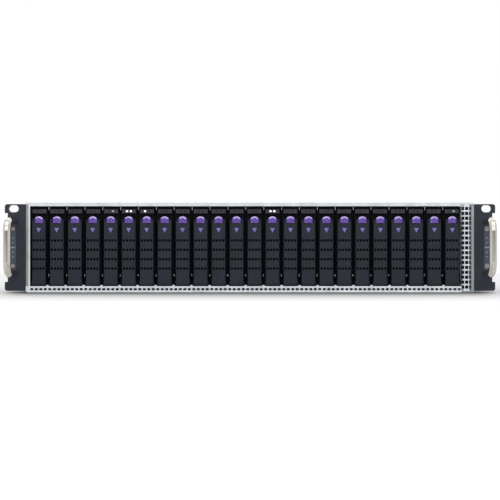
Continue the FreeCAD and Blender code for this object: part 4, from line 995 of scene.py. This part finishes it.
def add_camera():
    """Camera straight in front of the ears."""
    data = bpy.data.cameras.new("camera")
    data.sensor_width = SENSOR
    data.lens = SENSOR * CAMERA_DISTANCE / VIEW_WIDTH
    camera = bpy.data.objects.new("camera", data)
    ear_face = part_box("rack_ear_left")[0].y
    camera.location = (0, ear_face - CAMERA_DISTANCE * MM, CAMERA_HEIGHT * MM)
    camera.rotation_euler = (math.radians(90), 0, 0)
    bpy.context.scene.collection.objects.link(camera)
    bpy.context.scene.camera = camera


def reckon(tree, operation, *values):
    """Math node over other nodes' outputs."""
    node = tree.nodes.new("ShaderNodeMath")
    node.operation = operation
    for socket, value in zip(node.inputs, values):
        tree.links.new(value, socket)
    return node.outputs[0]


def glance(tree):
    """Value that is 1 for camera, glossy and transmission rays, and the Light Path node it comes from."""
    path = tree.nodes.new("ShaderNodeLightPath")
    value = path.outputs["Is Camera Ray"]
    for name in ("Is Glossy Ray", "Is Transmission Ray"):
        value = reckon(tree, "MAXIMUM", value, path.outputs[name])
    return value, path


def mapped(tree, value, low, high, source=(0.0, 1.0)):
    """Map Range node; low and high may be other nodes' outputs."""
    node = tree.nodes.new("ShaderNodeMapRange")
    node.inputs["From Min"].default_value, node.inputs["From Max"].default_value = source
    for name, end in (("To Min", low), ("To Max", high)):
        if isinstance(end, float):
            node.inputs[name].default_value = end
        else:
            tree.links.new(end, node.inputs[name])
    tree.links.new(value, node.inputs["Value"])
    return node.outputs[0]


def add_world():
    """Soft surroundings, white to the camera; reflections also show a dim patch in front of the object."""
    world = bpy.data.worlds.new("studio")
    world.use_nodes = True
    bpy.context.scene.world = world
    tree = world.node_tree
    background = tree.nodes["Background"]
    background.inputs["Color"].default_value = (1, 1, 1, 1)
    seen, path = glance(tree)
    level = mapped(tree, seen, WORLD_LIGHT, 1.0)
    place = tree.nodes.new("ShaderNodeTexCoord")
    ahead = tree.nodes.new("ShaderNodeVectorMath")
    ahead.operation = "DOT_PRODUCT"
    ahead.inputs[1].default_value = (0, -1, 0)
    tree.links.new(place.outputs["Generated"], ahead.inputs[0])
    room = mapped(tree, ahead.outputs["Value"], 1.0, ROOM_LEVEL, ROOM_EDGE)
    dim = mapped(tree, path.outputs["Is Glossy Ray"], 1.0, room)
    tree.links.new(reckon(tree, "MULTIPLY", level, dim), background.inputs["Strength"])


def floor_shadow(tree, place, path):
    """Painted shadow: share of the floor's light that is left beside the object, least in front of it, from
    ambient occlusion for camera rays only.
    """
    nook = tree.nodes.new("ShaderNodeAmbientOcclusion")
    nook.samples = SHADOW_SAMPLES
    nook.inputs["Distance"].default_value = SHADOW_REACH
    split = tree.nodes.new("ShaderNodeSeparateXYZ")
    tree.links.new(place, split.inputs[0])
    depth = mapped(tree, split.outputs["Y"], SHADOW_DEPTH, SIDE_SHADOW_DEPTH, SHADOW_EDGE)
    aside = reckon(tree, "ABSOLUTE", split.outputs["X"])
    beside = mapped(tree, aside, 0.0, 1.0, SHADOW_SIDE)
    depth = mapped(tree, beside, depth, SIDE_SHADOW_DEPTH)
    depth = mapped(tree, path.outputs["Is Camera Ray"], 0.0, depth)
    return reckon(tree, "POWER", nook.outputs["AO"], depth)


def floor_finish():
    """White floor that keeps the object's soft shadow, deepened by a painted shadow."""
    material = bpy.data.materials.new("floor")
    material.use_nodes = True
    tree = material.node_tree
    shader = tree.nodes["Principled BSDF"]
    shader.inputs["Roughness"].default_value = FLOOR_ROUGHNESS
    shader.inputs["Specular IOR Level"].default_value = 0.0
    shader.inputs["Emission Color"].default_value = (1, 1, 1, 1)
    place = tree.nodes.new("ShaderNodeTexCoord").outputs["Object"]
    seen, path = glance(tree)
    shadow = floor_shadow(tree, place, path)
    tree.links.new(mapped(tree, shadow, 0.0, FLOOR_COLOUR), shader.inputs["Base Color"])
    away = tree.nodes.new("ShaderNodeVectorMath")
    away.operation = "LENGTH"
    tree.links.new(place, away.inputs[0])
    lift = mapped(tree, away.outputs["Value"], FLOOR_LIFT, 1.0, (FLOOR_NEAR, FLOOR_REACH))
    glow = mapped(tree, seen, 0.0, lift)
    tree.links.new(mapped(tree, shadow, 0.0, glow), shader.inputs["Emission Strength"])
    return material


def add_floor():
    """Round floor just below the object."""
    mesh = bpy.data.meshes.new("floor")
    ring = []
    for step in range(FLOOR_STEPS):
        turn = 2 * math.pi * step / FLOOR_STEPS
        ring.append((FLOOR_REACH * math.cos(turn), FLOOR_REACH * math.sin(turn), 0))
    mesh.from_pydata(ring, [], [list(range(FLOOR_STEPS))])
    mesh.materials.append(floor_finish())
    floor = bpy.data.objects.new("floor", mesh)
    floor.location.z = -FLOOR_DROP
    bpy.context.scene.collection.objects.link(floor)


def add_lamp(name, place, target, size, power):
    """Rectangular lamp that points at a target."""
    data = bpy.data.lights.new(name, "AREA")
    data.shape = "RECTANGLE"
    data.size, data.size_y = size
    data.energy = power
    lamp = bpy.data.objects.new(name, data)
    lamp.location = place
    lamp.rotation_euler = (Vector(target) - Vector(place)).to_track_quat("-Z", "Y").to_euler()
    bpy.context.scene.collection.objects.link(lamp)


add_camera()
add_world()
add_floor()
for lamp in LAMPS:
    add_lamp(*lamp)
bpy.context.scene.view_settings.view_transform = "Standard"
